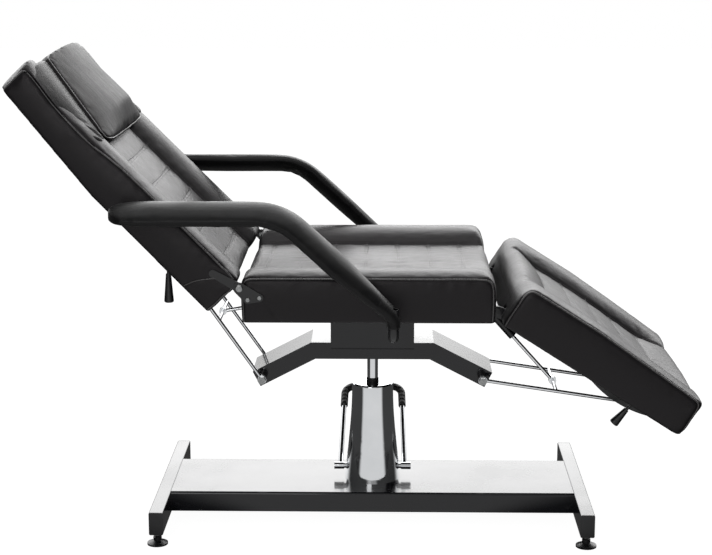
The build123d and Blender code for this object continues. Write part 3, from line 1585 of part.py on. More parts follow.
# Armrests: a padded blade that bends twice, on a tube that runs down into its socket
arm_tip = (arm_tip_x, arm_level_z)
arm_elbow = (arm_elbow_x, arm_level_z)
arm_foot = (arm_foot_x, arm_foot_z)
arm_slope_middle = ((arm_elbow_x + arm_foot_x) / 2, (arm_level_z + arm_foot_z) / 2)
arm_tube_x = column_x + arm_foot_x
for side, side_name in ((-1, "near"), (1, "far")):
    tube_foot_y = side * arm_tube_inner_y
    with BuildPart() as arm_tube:
        with BuildLine() as tube_path:
            FilletPolyline(
                (arm_tube_x, side * arm_y, arm_pad_end_z + arm_core_inset),
                (arm_tube_x, side * arm_y, socket_z),
                (arm_tube_x, tube_foot_y, socket_z),
                radius=arm_tube_bend,
            )
        tube_line = tube_path.line
        with BuildSketch(Plane(origin=tube_line @ 0, x_dir=across, z_dir=tube_line % 0)):
            Circle(arm_tube_radius)
            Circle(arm_tube_radius - arm_tube_wall, mode=Mode.SUBTRACT)
        sweep(path=tube_line)
    arm_tube.part.label = f"arm_tube_{side_name}"
    export_step(arm_tube.part, f"parts/arm_tube_{side_name}.step")

    with BuildPart() as armrest_pad:
        with BuildLine(rim_plane(0, side * arm_y, 0)) as upper_path:
            FilletPolyline(arm_tip, arm_elbow, arm_slope_middle, radius=arm_elbow_bend)
        upper_line = upper_path.line
        with BuildSketch(Plane(origin=upper_line @ 0, x_dir=across, z_dir=upper_line % 0)):
            Ellipse(arm_pad_width / 2, arm_pad_depth / 2, rotation=-side * arm_pad_tilt)
        sweep(path=upper_line)
        with BuildLine(rim_plane(0, side * arm_y, 0)) as lower_path:
            FilletPolyline(
                arm_slope_middle,
                arm_foot,
                (arm_foot_x, arm_pad_end_z),
                radius=arm_foot_bend / 2,
            )
        lower_line = lower_path.line
        with BuildSketch(Plane(origin=lower_line @ 0, x_dir=across, z_dir=lower_line % 0)):
            Ellipse(arm_pad_width / 2, arm_pad_depth / 2, rotation=-side * arm_pad_tilt)
        with BuildSketch(Plane(origin=lower_line @ 1, x_dir=across, z_dir=lower_line % 1)):
            Ellipse(arm_pad_end_width / 2, arm_pad_end_depth / 2)
        sweep(path=lower_line, multisection=True)
        tip_x = column_x + arm_tip_x
        with BuildSketch(Plane.XY.offset(arm_level_z - arm_pad_width)):
            with Locations((tip_x + arm_pad_round, side * arm_y)):
                Rectangle(2 * arm_pad_round, 2 * arm_pad_width)
            with Locations((tip_x + arm_pad_width / 2, side * arm_y)):
                Circle(arm_pad_width / 2, mode=Mode.SUBTRACT)
        extrude(amount=2 * arm_pad_width, mode=Mode.SUBTRACT)
        with BuildSketch(Plane.XY.offset(arm_pad_end_z)):
            with Locations((arm_tube_x, side * arm_y)):
                Circle(arm_tube_radius + running_gap)
        extrude(amount=arm_core_inset + running_gap, mode=Mode.SUBTRACT)
    armrest_pad.part.label = f"armrest_pad_{side_name}"
    export_step(armrest_pad.part, f"parts/armrest_pad_{side_name}.step")
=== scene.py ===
# %% [markdown]
# # Dressing a hydraulic beauty chair
# The CAD model gives every piece of the chair its place and its motion. This lesson
# gives it its looks: soft vinyl pads that swell between their seams, piping, foam
# armrests, glossy paint and chrome, in a bright and nearly shadowless studio.
# First the model is loaded as a fixed frame. Nothing in it is moved, and each new
# piece either rides on one of its bodies or stands in for one of its nodes.

# %% Load the model
import json
import math

import bmesh
import bpy
import numpy as np
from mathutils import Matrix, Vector, kdtree, noise


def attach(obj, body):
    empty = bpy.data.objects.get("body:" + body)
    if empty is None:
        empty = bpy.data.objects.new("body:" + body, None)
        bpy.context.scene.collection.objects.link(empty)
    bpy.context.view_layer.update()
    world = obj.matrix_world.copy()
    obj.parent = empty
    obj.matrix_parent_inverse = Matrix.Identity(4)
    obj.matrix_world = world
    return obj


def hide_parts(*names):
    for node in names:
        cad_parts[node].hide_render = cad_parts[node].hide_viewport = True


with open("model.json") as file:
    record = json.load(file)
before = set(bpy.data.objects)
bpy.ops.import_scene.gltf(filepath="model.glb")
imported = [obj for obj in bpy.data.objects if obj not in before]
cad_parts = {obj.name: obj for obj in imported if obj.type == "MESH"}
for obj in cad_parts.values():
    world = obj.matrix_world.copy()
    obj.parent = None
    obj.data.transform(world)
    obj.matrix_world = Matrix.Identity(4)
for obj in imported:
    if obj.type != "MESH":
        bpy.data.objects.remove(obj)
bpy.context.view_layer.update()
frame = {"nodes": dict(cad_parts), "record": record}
nodes = frame["nodes"]
scene = bpy.context.scene

# %% [markdown]
# ## Camera
# The chair is seen almost square from its long side and a little from above. A long
# lens far away keeps the pads' edges nearly parallel, as in a catalogue picture.

# %% Place the camera
lens = bpy.data.cameras.new("portrait_camera")
lens.lens = 84.94
lens.sensor_width = 36.0
lens.sensor_fit = "HORIZONTAL"
camera = bpy.data.objects.new("portrait_camera", lens)
camera.location = (0.0598, -3.6212, 1.3014)
camera.rotation_euler = (math.radians(90 - 11.959), math.radians(0.037), math.radians(1.111))
scene.collection.objects.link(camera)
scene.camera = camera
scene.view_settings.view_transform = "Standard"
print("camera at", tuple(round(v, 3) for v in camera.location))

# %% [markdown]
# ## Shader nodes
# World, floor and finishes are all trees of shader nodes. One small class adds a node
# with its settings, and sets each input to a plain value or leads an output to it.

# %% Helper for shader nodes


class Shading:
    """A tree of shader nodes being built."""

    def __init__(self, owner):
        owner.use_nodes = True
        self.tree = owner.node_tree

    def put(self, socket, value):
        """Set a socket to a plain value, or lead an output to it."""
        if isinstance(value, bpy.types.NodeSocket):
            self.tree.links.new(value, socket)
        else:
            socket.default_value = value

    def add(self, kind, inputs=(), **settings):
        """A node with its settings and with inputs given by name or number."""
        node = self.tree.nodes.new(kind)
        for key, value in settings.items():
            setattr(node, key, value)
        for key, value in dict(inputs).items():
            self.put(node.inputs[key], value)
        return node

    def math(self, operation, one, other=0.0):
        """Arithmetic on two outputs or numbers."""
        return self.add("ShaderNodeMath", {0: one, 1: other}, operation=operation).outputs[0]

    def range(self, value, start, end, low, high, kind="LINEAR"):
        """Turn a range of one number into a range of another."""
        inputs = {"Value": value, "From Min": start, "From Max": end, "To Min": low, "To Max": high}
        return self.add("ShaderNodeMapRange", inputs, interpolation_type=kind).outputs["Result"]

    def blend(self, share, one, other, data_type="FLOAT"):
        """One number or colour where share is 0, the other where it is 1."""
        inputs = {"Factor": share, "A": one, "B": other}
        return self.add("ShaderNodeMix", inputs, data_type=data_type).outputs["Result"]


print("shader helper ready")

# %% [markdown]
# ## White studio
# Catalogue pictures of chrome are taken in a white tent with a few dark flags, or the
# metal would vanish against the white. The world does the same: the camera sees plain
# white, soft light comes from all round, and reflections see white in front, behind
# and above, with darker sides. Only the direction in the world counts, so the look
# stays the same whichever way the camera turns.

# %% World
flag_level = 0.10
window_level = 0.8
room_level = 0.34
world = bpy.data.worlds.new("white_studio")
scene.world = world
sky = Shading(world)
sky.tree.nodes.clear()


def sky_fade(value, start, end, low, high):
    """A level that changes softly with the direction in the world."""
    return sky.range(value, start, end, low, high, "SMOOTHSTEP")


direction = sky.add("ShaderNodeTexCoord").outputs["Generated"]
toward = sky.add("ShaderNodeSeparateXYZ", {0: direction}).outputs
front_window = sky_fade(toward["Y"], -0.90, -0.975, flag_level, window_level)
wall_level = sky_fade(toward["Z"], 0.02, 0.24, 0.3, 3.8)
wall_part = sky_fade(toward["Y"], 0.25, 0.85, 0.0, 1.0)
back_wall = sky.blend(wall_part, flag_level, wall_level)
ceiling = sky_fade(toward["Z"], 0.35, 0.8, flag_level, window_level)
reflected = sky.math("MAXIMUM", sky.math("MAXIMUM", front_window, back_wall), ceiling)
rays = sky.add("ShaderNodeLightPath").outputs
seen = sky.blend(rays["Is Glossy Ray"], room_level, reflected)
strength = sky.blend(rays["Is Camera Ray"], seen, 1.0)
glow = sky.add("ShaderNodeBackground", {"Color": (1, 1, 1, 1), "Strength": strength})
sky.add("ShaderNodeOutputWorld", {"Surface": glow.outputs[0]})
print("world with", len(sky.tree.nodes), "nodes")

# %% [markdown]
# ## Soft lamps
# The photograph shows no hard shadow, so its lamps were large. One hangs above, one
# stands in front and a weaker one behind. Small lamps would give sharp glints on the
# vinyl. All three are weak, so that a colour renders about as it is written.

# %% Soft lamps


def softbox(name, place, aim, width, height, power):
    """A rectangular area lamp that looks at a point."""
    data = bpy.data.lights.new(name, "AREA")
    data.shape = "RECTANGLE"
    data.size = width
    data.size_y = height
    data.energy = power
    lamp = bpy.data.objects.new(name, data)
    lamp.location = place
    lamp.rotation_euler = (Vector(aim) - Vector(place)).to_track_quat("-Z", "Y").to_euler()
    scene.collection.objects.link(lamp)
    return lamp


softbox("overhead_softbox", (0.0, -0.3, 2.7), (0, 0, 0.5), 2.4, 1.2, 14)
softbox("front_softbox", (-0.7, -3.0, 1.5), (0, 0, 0.5), 1.0, 1.2, 14)
softbox("rear_softbox", (0.4, 2.6, 1.7), (0, 0, 0.6), 2.6, 1.0, 5)
print("three softboxes")

# %% [markdown]
# ## Floor
# The floor is lit like a pale sheet of paper, so it keeps the chair's soft shadow.
# The camera sees most of it as plain white, which is how a washed-out studio floor
# looks. Reflections see a bright patch in front of the chair and dark floor beside
# it, which gives the chrome bell its pale middle and its dark flanks.

# %% Floor
bm = bmesh.new()
bmesh.ops.create_grid(bm, x_segments=1, y_segments=1, size=14.0)
floor_mesh = bpy.data.meshes.new("studio_floor")
bm.to_mesh(floor_mesh)
bm.free()
floor = bpy.data.objects.new("studio_floor", floor_mesh)
scene.collection.objects.link(floor)

bell_x = 0.026
white_share = 0.72
paper_material = bpy.data.materials.new("studio_paper")
paper = Shading(paper_material)
paper.tree.nodes.clear()
place = paper.add("ShaderNodeNewGeometry").outputs["Position"]
away = paper.add("ShaderNodeSeparateXYZ", {0: place}).outputs
sideways = paper.math("ABSOLUTE", paper.math("SUBTRACT", away["X"], bell_x))
in_front = paper.math("MAXIMUM", paper.math("MULTIPLY", away["Y"], -1.0), 0.05)
patch = paper.range(paper.math("DIVIDE", sideways, in_front), 1.0, 1.7, 0.85, 0.06, "SMOOTHSTEP")
rays = paper.add("ShaderNodeLightPath").outputs
sheet = paper.add("ShaderNodeBsdfDiffuse", {"Color": (0.82, 0.82, 0.82, 1)}).outputs[0]
white = paper.add("ShaderNodeEmission", {"Strength": 1.34}).outputs[0]
mirrored = paper.add("ShaderNodeEmission", {"Strength": patch}).outputs[0]
white_part = paper.math("MULTIPLY", rays["Is Camera Ray"], white_share)
shown = paper.add("ShaderNodeMixShader", {0: white_part, 1: sheet, 2: white}).outputs[0]
mixed = paper.add("ShaderNodeMixShader", {0: rays["Is Glossy Ray"], 1: shown, 2: mirrored})
paper.add("ShaderNodeOutputMaterial", {"Surface": mixed.outputs[0]})
floor_mesh.materials.append(paper_material)
print("floor ready")

# %% [markdown]
# ## Finishes
# Every finish is a Principled shader with its detail from noise and cell textures in
# object coordinates: as the model is in metres, a texture scale of 400 gives grains
# of two and a half millimetres. Numbers that don't change over the surface are set on
# the shader itself.

# %% Helpers for finishes


class Finish(Shading):
    """A material being built: its node tree, its shader and its object coordinates."""

    def __init__(self, name, color, roughness, metallic=0.0, specular=0.5):
        self.material = bpy.data.materials.new(name)
        super().__init__(self.material)
        self.shader = self.tree.nodes["Principled BSDF"]
        self.set("Base Color", (*color, 1))
        self.set("Roughness", roughness)
        self.set("Metallic", metallic)
        self.set("Specular IOR Level", specular)
        self.place = self.add("ShaderNodeTexCoord").outputs["Object"]

    def set(self, socket, value):
        """Set a plain value on the shader, or lead an output to it."""
        self.put(self.shader.inputs[socket], value)

    def stretched(self, x, y, z):
        """Object coordinates stretched along the axes."""
        inputs = {"Scale": (x, y, z), "Vector": self.place}
        return self.add("ShaderNodeMapping", inputs).outputs[0]

    def noise(self, scale, detail=3.0, place=None):
        """Soft noise between 0 and 1."""
        inputs = {"Scale": scale, "Detail": detail, "Vector": place or self.place}
        return self.add("ShaderNodeTexNoise", inputs).outputs["Fac"]

    def cells(self, scale, feature="F1"):
        """Distance in a pattern of cells."""
        inputs = {"Scale": scale, "Vector": self.place}
        return self.add("ShaderNodeTexVoronoi", inputs, feature=feature).outputs["Distance"]

    def bands(self, scale, axis):
        """Parallel bands across one axis."""
        inputs = {"Scale": scale, "Vector": self.place}
        return self.add("ShaderNodeTexWave", inputs, bands_direction=axis).outputs["Fac"]

    def attribute(self, name):
        """A number stored on the piece's points."""
        return self.add("ShaderNodeAttribute", attribute_name=name).outputs["Fac"]

    def tint(self, share, *stops):
        """A colour that runs through stops of (place, red, green, blue) with a share."""
        node = self.add("ShaderNodeValToRGB", {"Fac": share})
        ramp = node.color_ramp
        while len(ramp.elements) < len(stops):
            ramp.elements.new(0.5)
        for element, (position, *color) in zip(ramp.elements, stops):
            element.position = position
            element.color = (*color, 1)
        self.set("Base Color", node.outputs["Color"])
        return node.outputs["Color"]

    def wear(self, share, low, high):
        """A roughness that follows a pattern from low to high."""
        self.set("Roughness", self.range(share, 0.3, 0.7, low, high))

    def relief(self, height, depth, strength=1.0):
        """Bump of a depth in metres, over an earlier bump if there is one."""
        inputs = {"Distance": depth, "Strength": strength, "Height": height}
        normal = self.shader.inputs["Normal"]
        if normal.is_linked:
            inputs["Normal"] = normal.links[0].from_socket
        self.set("Normal", self.add("ShaderNodeBump", inputs).outputs["Normal"])


print("finish helpers ready")

# %% [markdown]
# ## Upholstery vinyl
# Soft semi-gloss vinyl over foam. It is nearly black seen square, and turns a warm
# grey where it is seen along its surface, so its gloss does most of the work. Its
# detail is a fine pebble grain, faint stretch lines, painted shade that darkens the
# hollow along each seam, and a row of thread stitches beside it. The distance to the
# nearest seam and the way along it are stored on the points of each pad.

# %% Vinyl
# seam_shade is the colour of the painted shade in the hollow of a seam
seam_shade = (0.0, 0.002, 0.0018, 0.0018)
thread_color = (0.035, 0.033, 0.034, 1)
thread_gap = 0.0048
thread_half = 0.0009
stitches_per_metre = 190.0


def vinyl(name, dark, light, roughness, specular):
    """Grained vinyl with stitches beside its seams."""
    skin = Finish(name, dark, roughness, specular=specular)
    cloud = skin.math("MULTIPLY", skin.noise(9.0, 4.0), 0.7)
    patch = skin.math("MULTIPLY", skin.noise(70.0, 2.0), 0.3)
    tone = skin.math("ADD", cloud, patch)
    gap = skin.attribute("seam_gap")
    run = skin.attribute("seam_run")
    # painted shade: the skin's colour darkens within six millimetres of each seam, toward
    # seam_shade
    seam_shade_share = skin.range(gap, 0.0, 0.006, 0.25, 1.0)
    shaded = skin.math("MULTIPLY", tone, seam_shade_share)
    base = skin.tint(shaded, seam_shade, (0.3, *dark), (0.75, *light))
    from_row = skin.math("ABSOLUTE", skin.math("SUBTRACT", gap, thread_gap))
    row = skin.range(from_row, 0.0, thread_half, 1.0, 0.0)
    step = skin.math("FRACT", skin.math("MULTIPLY", run, stitches_per_metre))
    stitch = skin.math("MULTIPLY", row, skin.math("LESS_THAN", step, 0.68))
    skin.set("Base Color", skin.blend(stitch, base, thread_color, "RGBA"))
    skin.wear(tone, roughness - 0.05, roughness + 0.07)
    skin.set("Specular Tint", (1.0, 0.955, 0.97, 1))
    skin.set("Sheen Weight", 0.04)
    skin.relief(skin.noise(26.0, 5.0, skin.stretched(0.45, 1.6, 0.45)), 0.0010)
    skin.relief(skin.cells(520.0, "DISTANCE_TO_EDGE"), 0.00035, 0.8)
    skin.relief(stitch, 0.0006)
    return skin.material


pad_dark, pad_light = (0.0052, 0.0047, 0.0056), (0.0095, 0.0083, 0.0092)
crown_dark, crown_light = (0.0052, 0.0045, 0.0050), (0.0090, 0.0077, 0.0083)
# the pillow bands get a darker, less glossy copy of the vinyl: painted shade for bands that face
# sideways, away from the lamps
shaded_band_dark, shaded_band_light = (0.0016, 0.0014, 0.0016), (0.0034, 0.0029, 0.0033)
vinyl_black = vinyl("upholstery_vinyl", pad_dark, pad_light, 0.36, 0.24)
vinyl_pillow = vinyl("pillow_vinyl", crown_dark, crown_light, 0.42, 0.11)
vinyl_band_painted_shade = vinyl("band_vinyl_painted_shade", shaded_band_dark, shaded_band_light, 0.27, 0.06)
print("vinyl ready")

# %% [markdown]
# ## Paint, chrome and steel
# The floor frame and the beam carry glossy black paint, whose thin clear top gives a
# second, sharper reflection. Chrome is a mirror with the slightest haze. Steel, zinc
# and rubber each get their own roughness pattern, as wear and handling leave it.

# %% Metal finishes


def gloss_paint():
    """Glossy black paint with a little orange peel and fine dust."""
    paint = Finish("black_gloss_paint", (0.0046, 0.005, 0.0078), 0.22, specular=0.16)
    dust = paint.noise(320.0, 2.0)
    paint.tint(dust, (0.55, 0.0040, 0.0043, 0.0066), (0.8, 0.0075, 0.0078, 0.0098))
    paint.wear(paint.noise(6.0, 3.0), 0.16, 0.30)
    paint.set("Coat Weight", 0.6)
    paint.set("Coat Roughness", 0.06)
    paint.relief(paint.noise(240.0, 1.0), 0.00006)
    return paint.material


def bright_chrome():
    """Polished chrome with the faintest haze and polishing marks."""
    chrome = Finish("bright_chrome", (0.70, 0.715, 0.73), 0.07, metallic=1.0)
    haze = chrome.noise(14.0, 4.0)
    chrome.tint(haze, (0.3, 0.66, 0.675, 0.69), (0.7, 0.74, 0.75, 0.765))
    chrome.wear(haze, 0.05, 0.11)
    chrome.relief(chrome.noise(60.0, 3.0, chrome.stretched(1.0, 1.0, 14.0)), 0.00002)
    return chrome.material


def steel_paint():
    """Satin black paint on rod and sheet."""
    paint = Finish("black_steel", (0.0066, 0.0066, 0.0078), 0.34)
    touch = paint.noise(90.0, 5.0)
    paint.tint(touch, (0.35, 0.0052, 0.0052, 0.0062), (0.72, 0.0095, 0.0095, 0.0108))
    paint.wear(touch, 0.27, 0.42)
    paint.relief(paint.noise(420.0, 2.0), 0.00008)
    return paint.material


def zinc():
    """Zinc-plated steel, mottled and lightly turned."""
    plate = Finish("zinc_fasteners", (0.26, 0.27, 0.275), 0.32, metallic=1.0)
    plate.tint(plate.cells(260.0), (0.1, 0.21, 0.22, 0.23), (0.7, 0.31, 0.315, 0.31))
    plate.wear(plate.noise(140.0), 0.24, 0.42)
    plate.relief(plate.noise(700.0, 2.0), 0.00006)
    return plate.material


print("metal finishes ready")

# %% Rubber, plastic, foam skin and lining cloth


def rubber():
    """Black rubber with moulded rings across the pedal."""
    skin = Finish("black_rubber", (0.0037, 0.0037, 0.0037), 0.55)
    bloom = skin.noise(50.0, 4.0)
    skin.tint(bloom, (0.35, 0.0030, 0.0030, 0.0030), (0.75, 0.0075, 0.0073, 0.0072))
    skin.wear(bloom, 0.48, 0.66)
    skin.relief(skin.bands(32.0, "Y"), 0.0007)
    return skin.material


def plastic():
    """Black plastic with the fine texture of its mould."""
    skin = Finish("black_plastic", (0.005, 0.0055, 0.0066), 0.38)
    scuff = skin.noise(35.0, 4.0)
    skin.tint(scuff, (0.35, 0.0044, 0.0048, 0.0058), (0.75, 0.0085, 0.0088, 0.0098))
    skin.wear(scuff, 0.30, 0.46)
    skin.relief(skin.noise(900.0, 2.0), 0.00010)
    return skin.material


def foam_skin():
    """The soft skin that moulded foam gets against its mould, with painted shade along the mould's
    parting line.
    """
    skin = Finish("arm_foam", (0.0040, 0.0040, 0.0044), 0.36, specular=0.17)
    touch = skin.noise(16.0, 5.0)
    # painted shade: the skin darkens within four millimetres of the parting line, as if its groove
    # lay in shade
    near = skin.range(skin.attribute("seam_gap"), 0.0, 0.004, 0.35, 1.0)
    tone = skin.math("MULTIPLY", touch, near)
    low, middle = (0.1, 0.0020, 0.0020, 0.0022), (0.35, 0.0046, 0.0046, 0.0050)
    skin.tint(tone, low, middle, (0.8, 0.0100, 0.0096, 0.0098))
    skin.wear(touch, 0.33, 0.48)
    skin.set("Sheen Weight", 0.05)
    skin.relief(skin.noise(22.0, 3.0), 0.0006)
    skin.relief(skin.cells(700.0, "DISTANCE_TO_EDGE"), 0.00022, 0.7)
    return skin.material


def lining_cloth():
    """Thin woven lining over the plywood boards."""
    cloth = Finish("board_cloth", (0.0189, 0.0143, 0.0127), 0.85)
    weave = cloth.math("MULTIPLY", cloth.bands(160.0, "X"), cloth.bands(160.0, "Y"))
    cloth.tint(weave, (0.1, 0.010, 0.008, 0.0075), (0.8, 0.026, 0.020, 0.018))
    cloth.wear(cloth.noise(40.0), 0.8, 0.95)
    cloth.relief(weave, 0.0003)
    return cloth.material


def welt():
    """Vinyl drawn tight over a cord: smoother and glossier than the pads, and painted lighter than
    them as a highlight along the piping.
    """
    skin = Finish("welt_vinyl_painted_highlight", (0.02, 0.018, 0.019), 0.24, specular=0.8)
    rub = skin.noise(120.0, 3.0)
    skin.tint(rub, (0.3, 0.014, 0.0125, 0.013), (0.75, 0.034, 0.030, 0.031))
    skin.wear(rub, 0.22, 0.38)
    skin.relief(skin.cells(600.0), 0.00012)
    return skin.material


# painted highlight: the piping's colour is several times lighter than the pads' vinyl, so each
# piping shows as a light line
welt_vinyl_painted_highlight = welt()
finishes = {
    "black_gloss_paint": gloss_paint(),
    "bright_chrome": bright_chrome(),
    "black_steel": steel_paint(),
    "zinc_fasteners": zinc(),
    "black_vinyl": vinyl_black,
    "board_cloth": lining_cloth(),
    "black_rubber": rubber(),
    "black_plastic": plastic(),
    "arm_foam": foam_skin(),
}
print(len(finishes), "finishes")

# %% [markdown]
# ## Finishes on the CAD nodes
# The record says which finish each node takes.

# %% Hand out the finishes
for row in frame["record"]["subparts"]:
    node = nodes[row["node"]]
    material = finishes[row["material_slot"]]
    if not node.data.materials:
        node.data.materials.append(material)
    for place in node.material_slots:
        place.material = material
print("finishes on", len(nodes), "nodes")

# %% [markdown]
# ## Places on the pads
# Each pad has its own simple coordinates: s along it, y across it and n out of its
# face. The seat's start at its rear lower edge, those of the back and the leg rest at
# their hinges.

# %% Pad coordinates


class PadAxes:
    """Origin and directions of one pad."""

    def __init__(self, origin, along, out):
        self.origin = Vector(origin)
        self.along = Vector(along).normalized()
        self.out = Vector(out).normalized()

    def point(self, s, y, n):
        """World point from the pad's own coordinates in metres."""
        return self.origin + self.along * s + self.out * n + Vector((0, y, 0))

    def split(self, points):
        """The pad's own coordinates of an array of points."""
        moved = points - np.array(self.origin)
        return moved @ np.array(self.along), moved[:, 1], moved @ np.array(self.out)


def pad_axes(x, z, degrees, ahead=1):
    """Axes of a pad that starts at x and z and rises by an angle from the level."""
    angle = math.radians(degrees)
    along = (ahead * math.cos(angle), 0, math.sin(angle))
    return PadAxes((x, 0, z), along, (-ahead * math.sin(angle), 0, math.cos(angle)))


seat_axes = pad_axes(-0.240, 0.500, 0)
back_axes = pad_axes(-0.242, 0.575, 46.1, ahead=-1)
leg_axes = pad_axes(0.286, 0.507, -32.6)
print("pad coordinates for seat, back and leg rest")

# %% [markdown]
# ## Routes of the seams
# A seam is a line of points on the pad. A few corners are enough: the line is divided
# into short steps and smoothed, which rounds the corners as a sewn edge is rounded,
# and each point is later pulled onto the pad's surface.

# %% Seam routes
seam_step = 0.002


def route(corners, rounding=0.0, closed=False):
    """Points every two millimetres through corners, rounded over a length."""
    points = [Vector(c) for c in corners]
    if closed:
        points.append(points[0].copy())
    line = []
    for start, end in zip(points, points[1:]):
        count = max(1, round((end - start).length / seam_step))
        line += [start.lerp(end, i / count) for i in range(count)]
    if not closed:
        line.append(points[-1])
    line = np.array(line)
    for _ in range(int((rounding / seam_step) ** 2)):
        middle = line.copy()
        if closed:
            middle = (np.roll(line, 1, 0) + np.roll(line, -1, 0)) / 2
        else:
            middle[1:-1] = (line[:-2] + line[2:]) / 2
        line = (line + middle) / 2
    return line


def on_surface(piece, line, lift=0.0):
    """The route pulled onto a piece, and lifted off it by a little."""
    result = []
    for point in line:
        found, place, normal, _ = piece.closest_point_on_mesh(Vector(point))
        result.append(place + normal * lift)
    return np.array(result)


print("route helpers ready")

# %% [markdown]
# ## Stuffing a pad
# The CAD cushion is a firm block with the right outline. A copy of it is wrapped in a
# new even mesh, its edges are eased, and a cloth simulation with air pressure blows
# it up while the underside and the seams are held. How far a point may move is
# capped, so the pad keeps clear of its neighbours. Then the seams are pulled in and
# the skin between them gets the small unevenness of hand upholstery.

# %% Mesh helpers


def link_piece(name, mesh):
    """A new object that shows a mesh."""
    piece = bpy.data.objects.new(name, mesh)
    scene.collection.objects.link(piece)
    return piece


def read_points(mesh, what="co"):
    """Places or normals of a mesh's points as an array."""
    values = np.empty(len(mesh.vertices) * 3, np.float32)
    mesh.vertices.foreach_get(what, values)
    return values.reshape(-1, 3).astype(float)


def write_points(mesh, points):
    """Put a mesh's points at new places."""
    mesh.vertices.foreach_set("co", points.astype(np.float32).ravel())
    mesh.update()


def settle(piece):
    """Apply a piece's modifiers to its mesh."""
    bpy.context.view_layer.update()
    shown = piece.evaluated_get(bpy.context.evaluated_depsgraph_get())
    mesh = bpy.data.meshes.new_from_object(shown)
    piece.modifiers.clear()
    piece.data = mesh
    mesh.name = piece.name
    return piece


weld_distance = 0.00002


def wrapped_copy(name, node, voxel):
    """A copy of a CAD node in one even mesh."""
    mesh = nodes[node].data.copy()
    mesh.materials.clear()
    bm = bmesh.new()
    bm.from_mesh(mesh)
    bmesh.ops.remove_doubles(bm, verts=bm.verts, dist=weld_distance)
    bm.to_mesh(mesh)
    bm.free()
    piece = link_piece(name, mesh)
    wrap = piece.modifiers.new("wrap", "REMESH")
    wrap.mode = "VOXEL"
    wrap.voxel_size = voxel
    wrap.use_smooth_shade = True
    return settle(piece)


def ease_edges(piece, free, rounds):
    """Round the free edges of a piece with a few rounds of smoothing."""
    bm = bmesh.new()
    bm.from_mesh(piece.data)
    bm.verts.ensure_lookup_table()
    loose = [bm.verts[int(i)] for i in np.flatnonzero(free)]
    for _ in range(rounds):
        bmesh.ops.smooth_vert(
            bm, verts=loose, factor=0.5, use_axis_x=True, use_axis_y=True, use_axis_z=True
        )
    bm.to_mesh(piece.data)
    bm.free()


swell_frames = 20
stretchy_skin = {
    "quality": 4,
    "mass": 0.3,
    "tension_stiffness": 12,
    "compression_stiffness": 12,
    "shear_stiffness": 6,
    "bending_stiffness": 0.6,
}


def blow_up(piece, held, cap, pressure=4.0):
    """Swell a piece with a cloth simulation, no point further than a cap."""
    start = read_points(piece.data)
    group = piece.vertex_groups.new(name="held")
    group.add([int(i) for i in np.flatnonzero(held)], 1.0, "REPLACE")
    cloth = piece.modifiers.new("swell", "CLOTH")
    for key, value in stretchy_skin.items():
        setattr(cloth.settings, key, value)
    cloth.settings.use_pressure = True
    cloth.settings.uniform_pressure_force = pressure
    cloth.settings.vertex_group_mass = "held"
    cloth.settings.effector_weights.gravity = 0
    cloth.point_cache.frame_start = 1
    cloth.point_cache.frame_end = swell_frames
    for step in range(1, swell_frames + 1):
        scene.frame_set(step)
    shown = piece.evaluated_get(bpy.context.evaluated_depsgraph_get())
    moved = read_points(shown.data) - start
    piece.modifiers.clear()
    piece.vertex_groups.clear()
    far = np.linalg.norm(moved, axis=1)
    share = np.minimum(1.0, cap / np.maximum(far, 1e-9))
    write_points(piece.data, start + moved * share[:, None])
    scene.frame_set(1)
    print(piece.name, "swelled by up to", round(float((far * share).max()) * 1000, 1), "mm")


print("stuffing helpers ready")

# %% [markdown]
# ## Sewing
# A real seam is two folded edges that thread pulls tight. It could be cut into the
# mesh, but that needs edges along every seam. Here each point looks up how far it is
# from the nearest seam in a search tree, and a smooth dip of that distance is pressed
# in. The same distance is stored for the finish, which draws shade and stitches.

# %% Sewing


class Seam:
    """A sewn line on a pad: its route, how deep it pulls in and how wide."""

    def __init__(self, line, depth, width, stitched=True):
        self.line = line
        self.depth = depth
        self.width = width
        self.stitched = stitched


def nearest_seams(points, seams):
    """For each point the nearest seam's number, its distance and the way along it."""
    total = sum(len(seam.line) for seam in seams)
    tree = kdtree.KDTree(total)
    owner, run = [], []
    for number, seam in enumerate(seams):
        steps = np.linalg.norm(np.diff(seam.line, axis=0), axis=1)
        along = np.concatenate([[0.0], np.cumsum(steps)])
        for point, way in zip(seam.line, along):
            tree.insert(point, len(owner))
            owner.append(number)
            run.append(way)
    tree.balance()
    found = [tree.find(point)[1:] for point in points]
    index = np.array([f[0] for f in found])
    gap = np.array([f[1] for f in found])
    return np.array(owner)[index], gap, np.array(run)[index]


def store(mesh, name, values):
    """Store a number on each point for the finish."""
    layer = mesh.attributes.new(name, "FLOAT", "POINT")
    layer.data.foreach_set("value", values.astype(np.float32))


pucker_depth = 0.0009
no_stitch_gap = 0.003


def sew(piece, seams, held, wave=0.0009):
    """Pull the seams in, pucker the skin beside them and store where they are."""
    mesh = piece.data
    points = read_points(mesh)
    normals = read_points(mesh, "normal")
    number, gap, run = nearest_seams(points, seams)
    depth = np.array([seam.depth for seam in seams])[number]
    width = np.array([seam.width for seam in seams])[number]
    stitched = np.array([seam.stitched for seam in seams])[number]
    pull = depth * np.exp(-((gap / width) ** 2))
    places = zip(run * 55.0, gap * 30.0, number * 7.0)
    pucker = np.array([noise.noise(place) for place in places])
    pucker *= pucker_depth * np.exp(-(((gap - 0.012) / 0.014) ** 2))
    ripple = np.array([noise.noise(Vector(p) * 9.0) for p in points]) * wave
    shift = np.where(held, 0.0, ripple + pucker - pull)
    write_points(mesh, points + normals * shift[:, None])
    store(mesh, "seam_gap", np.where(stitched, gap, np.minimum(gap, no_stitch_gap)))
    store(mesh, "seam_run", run)


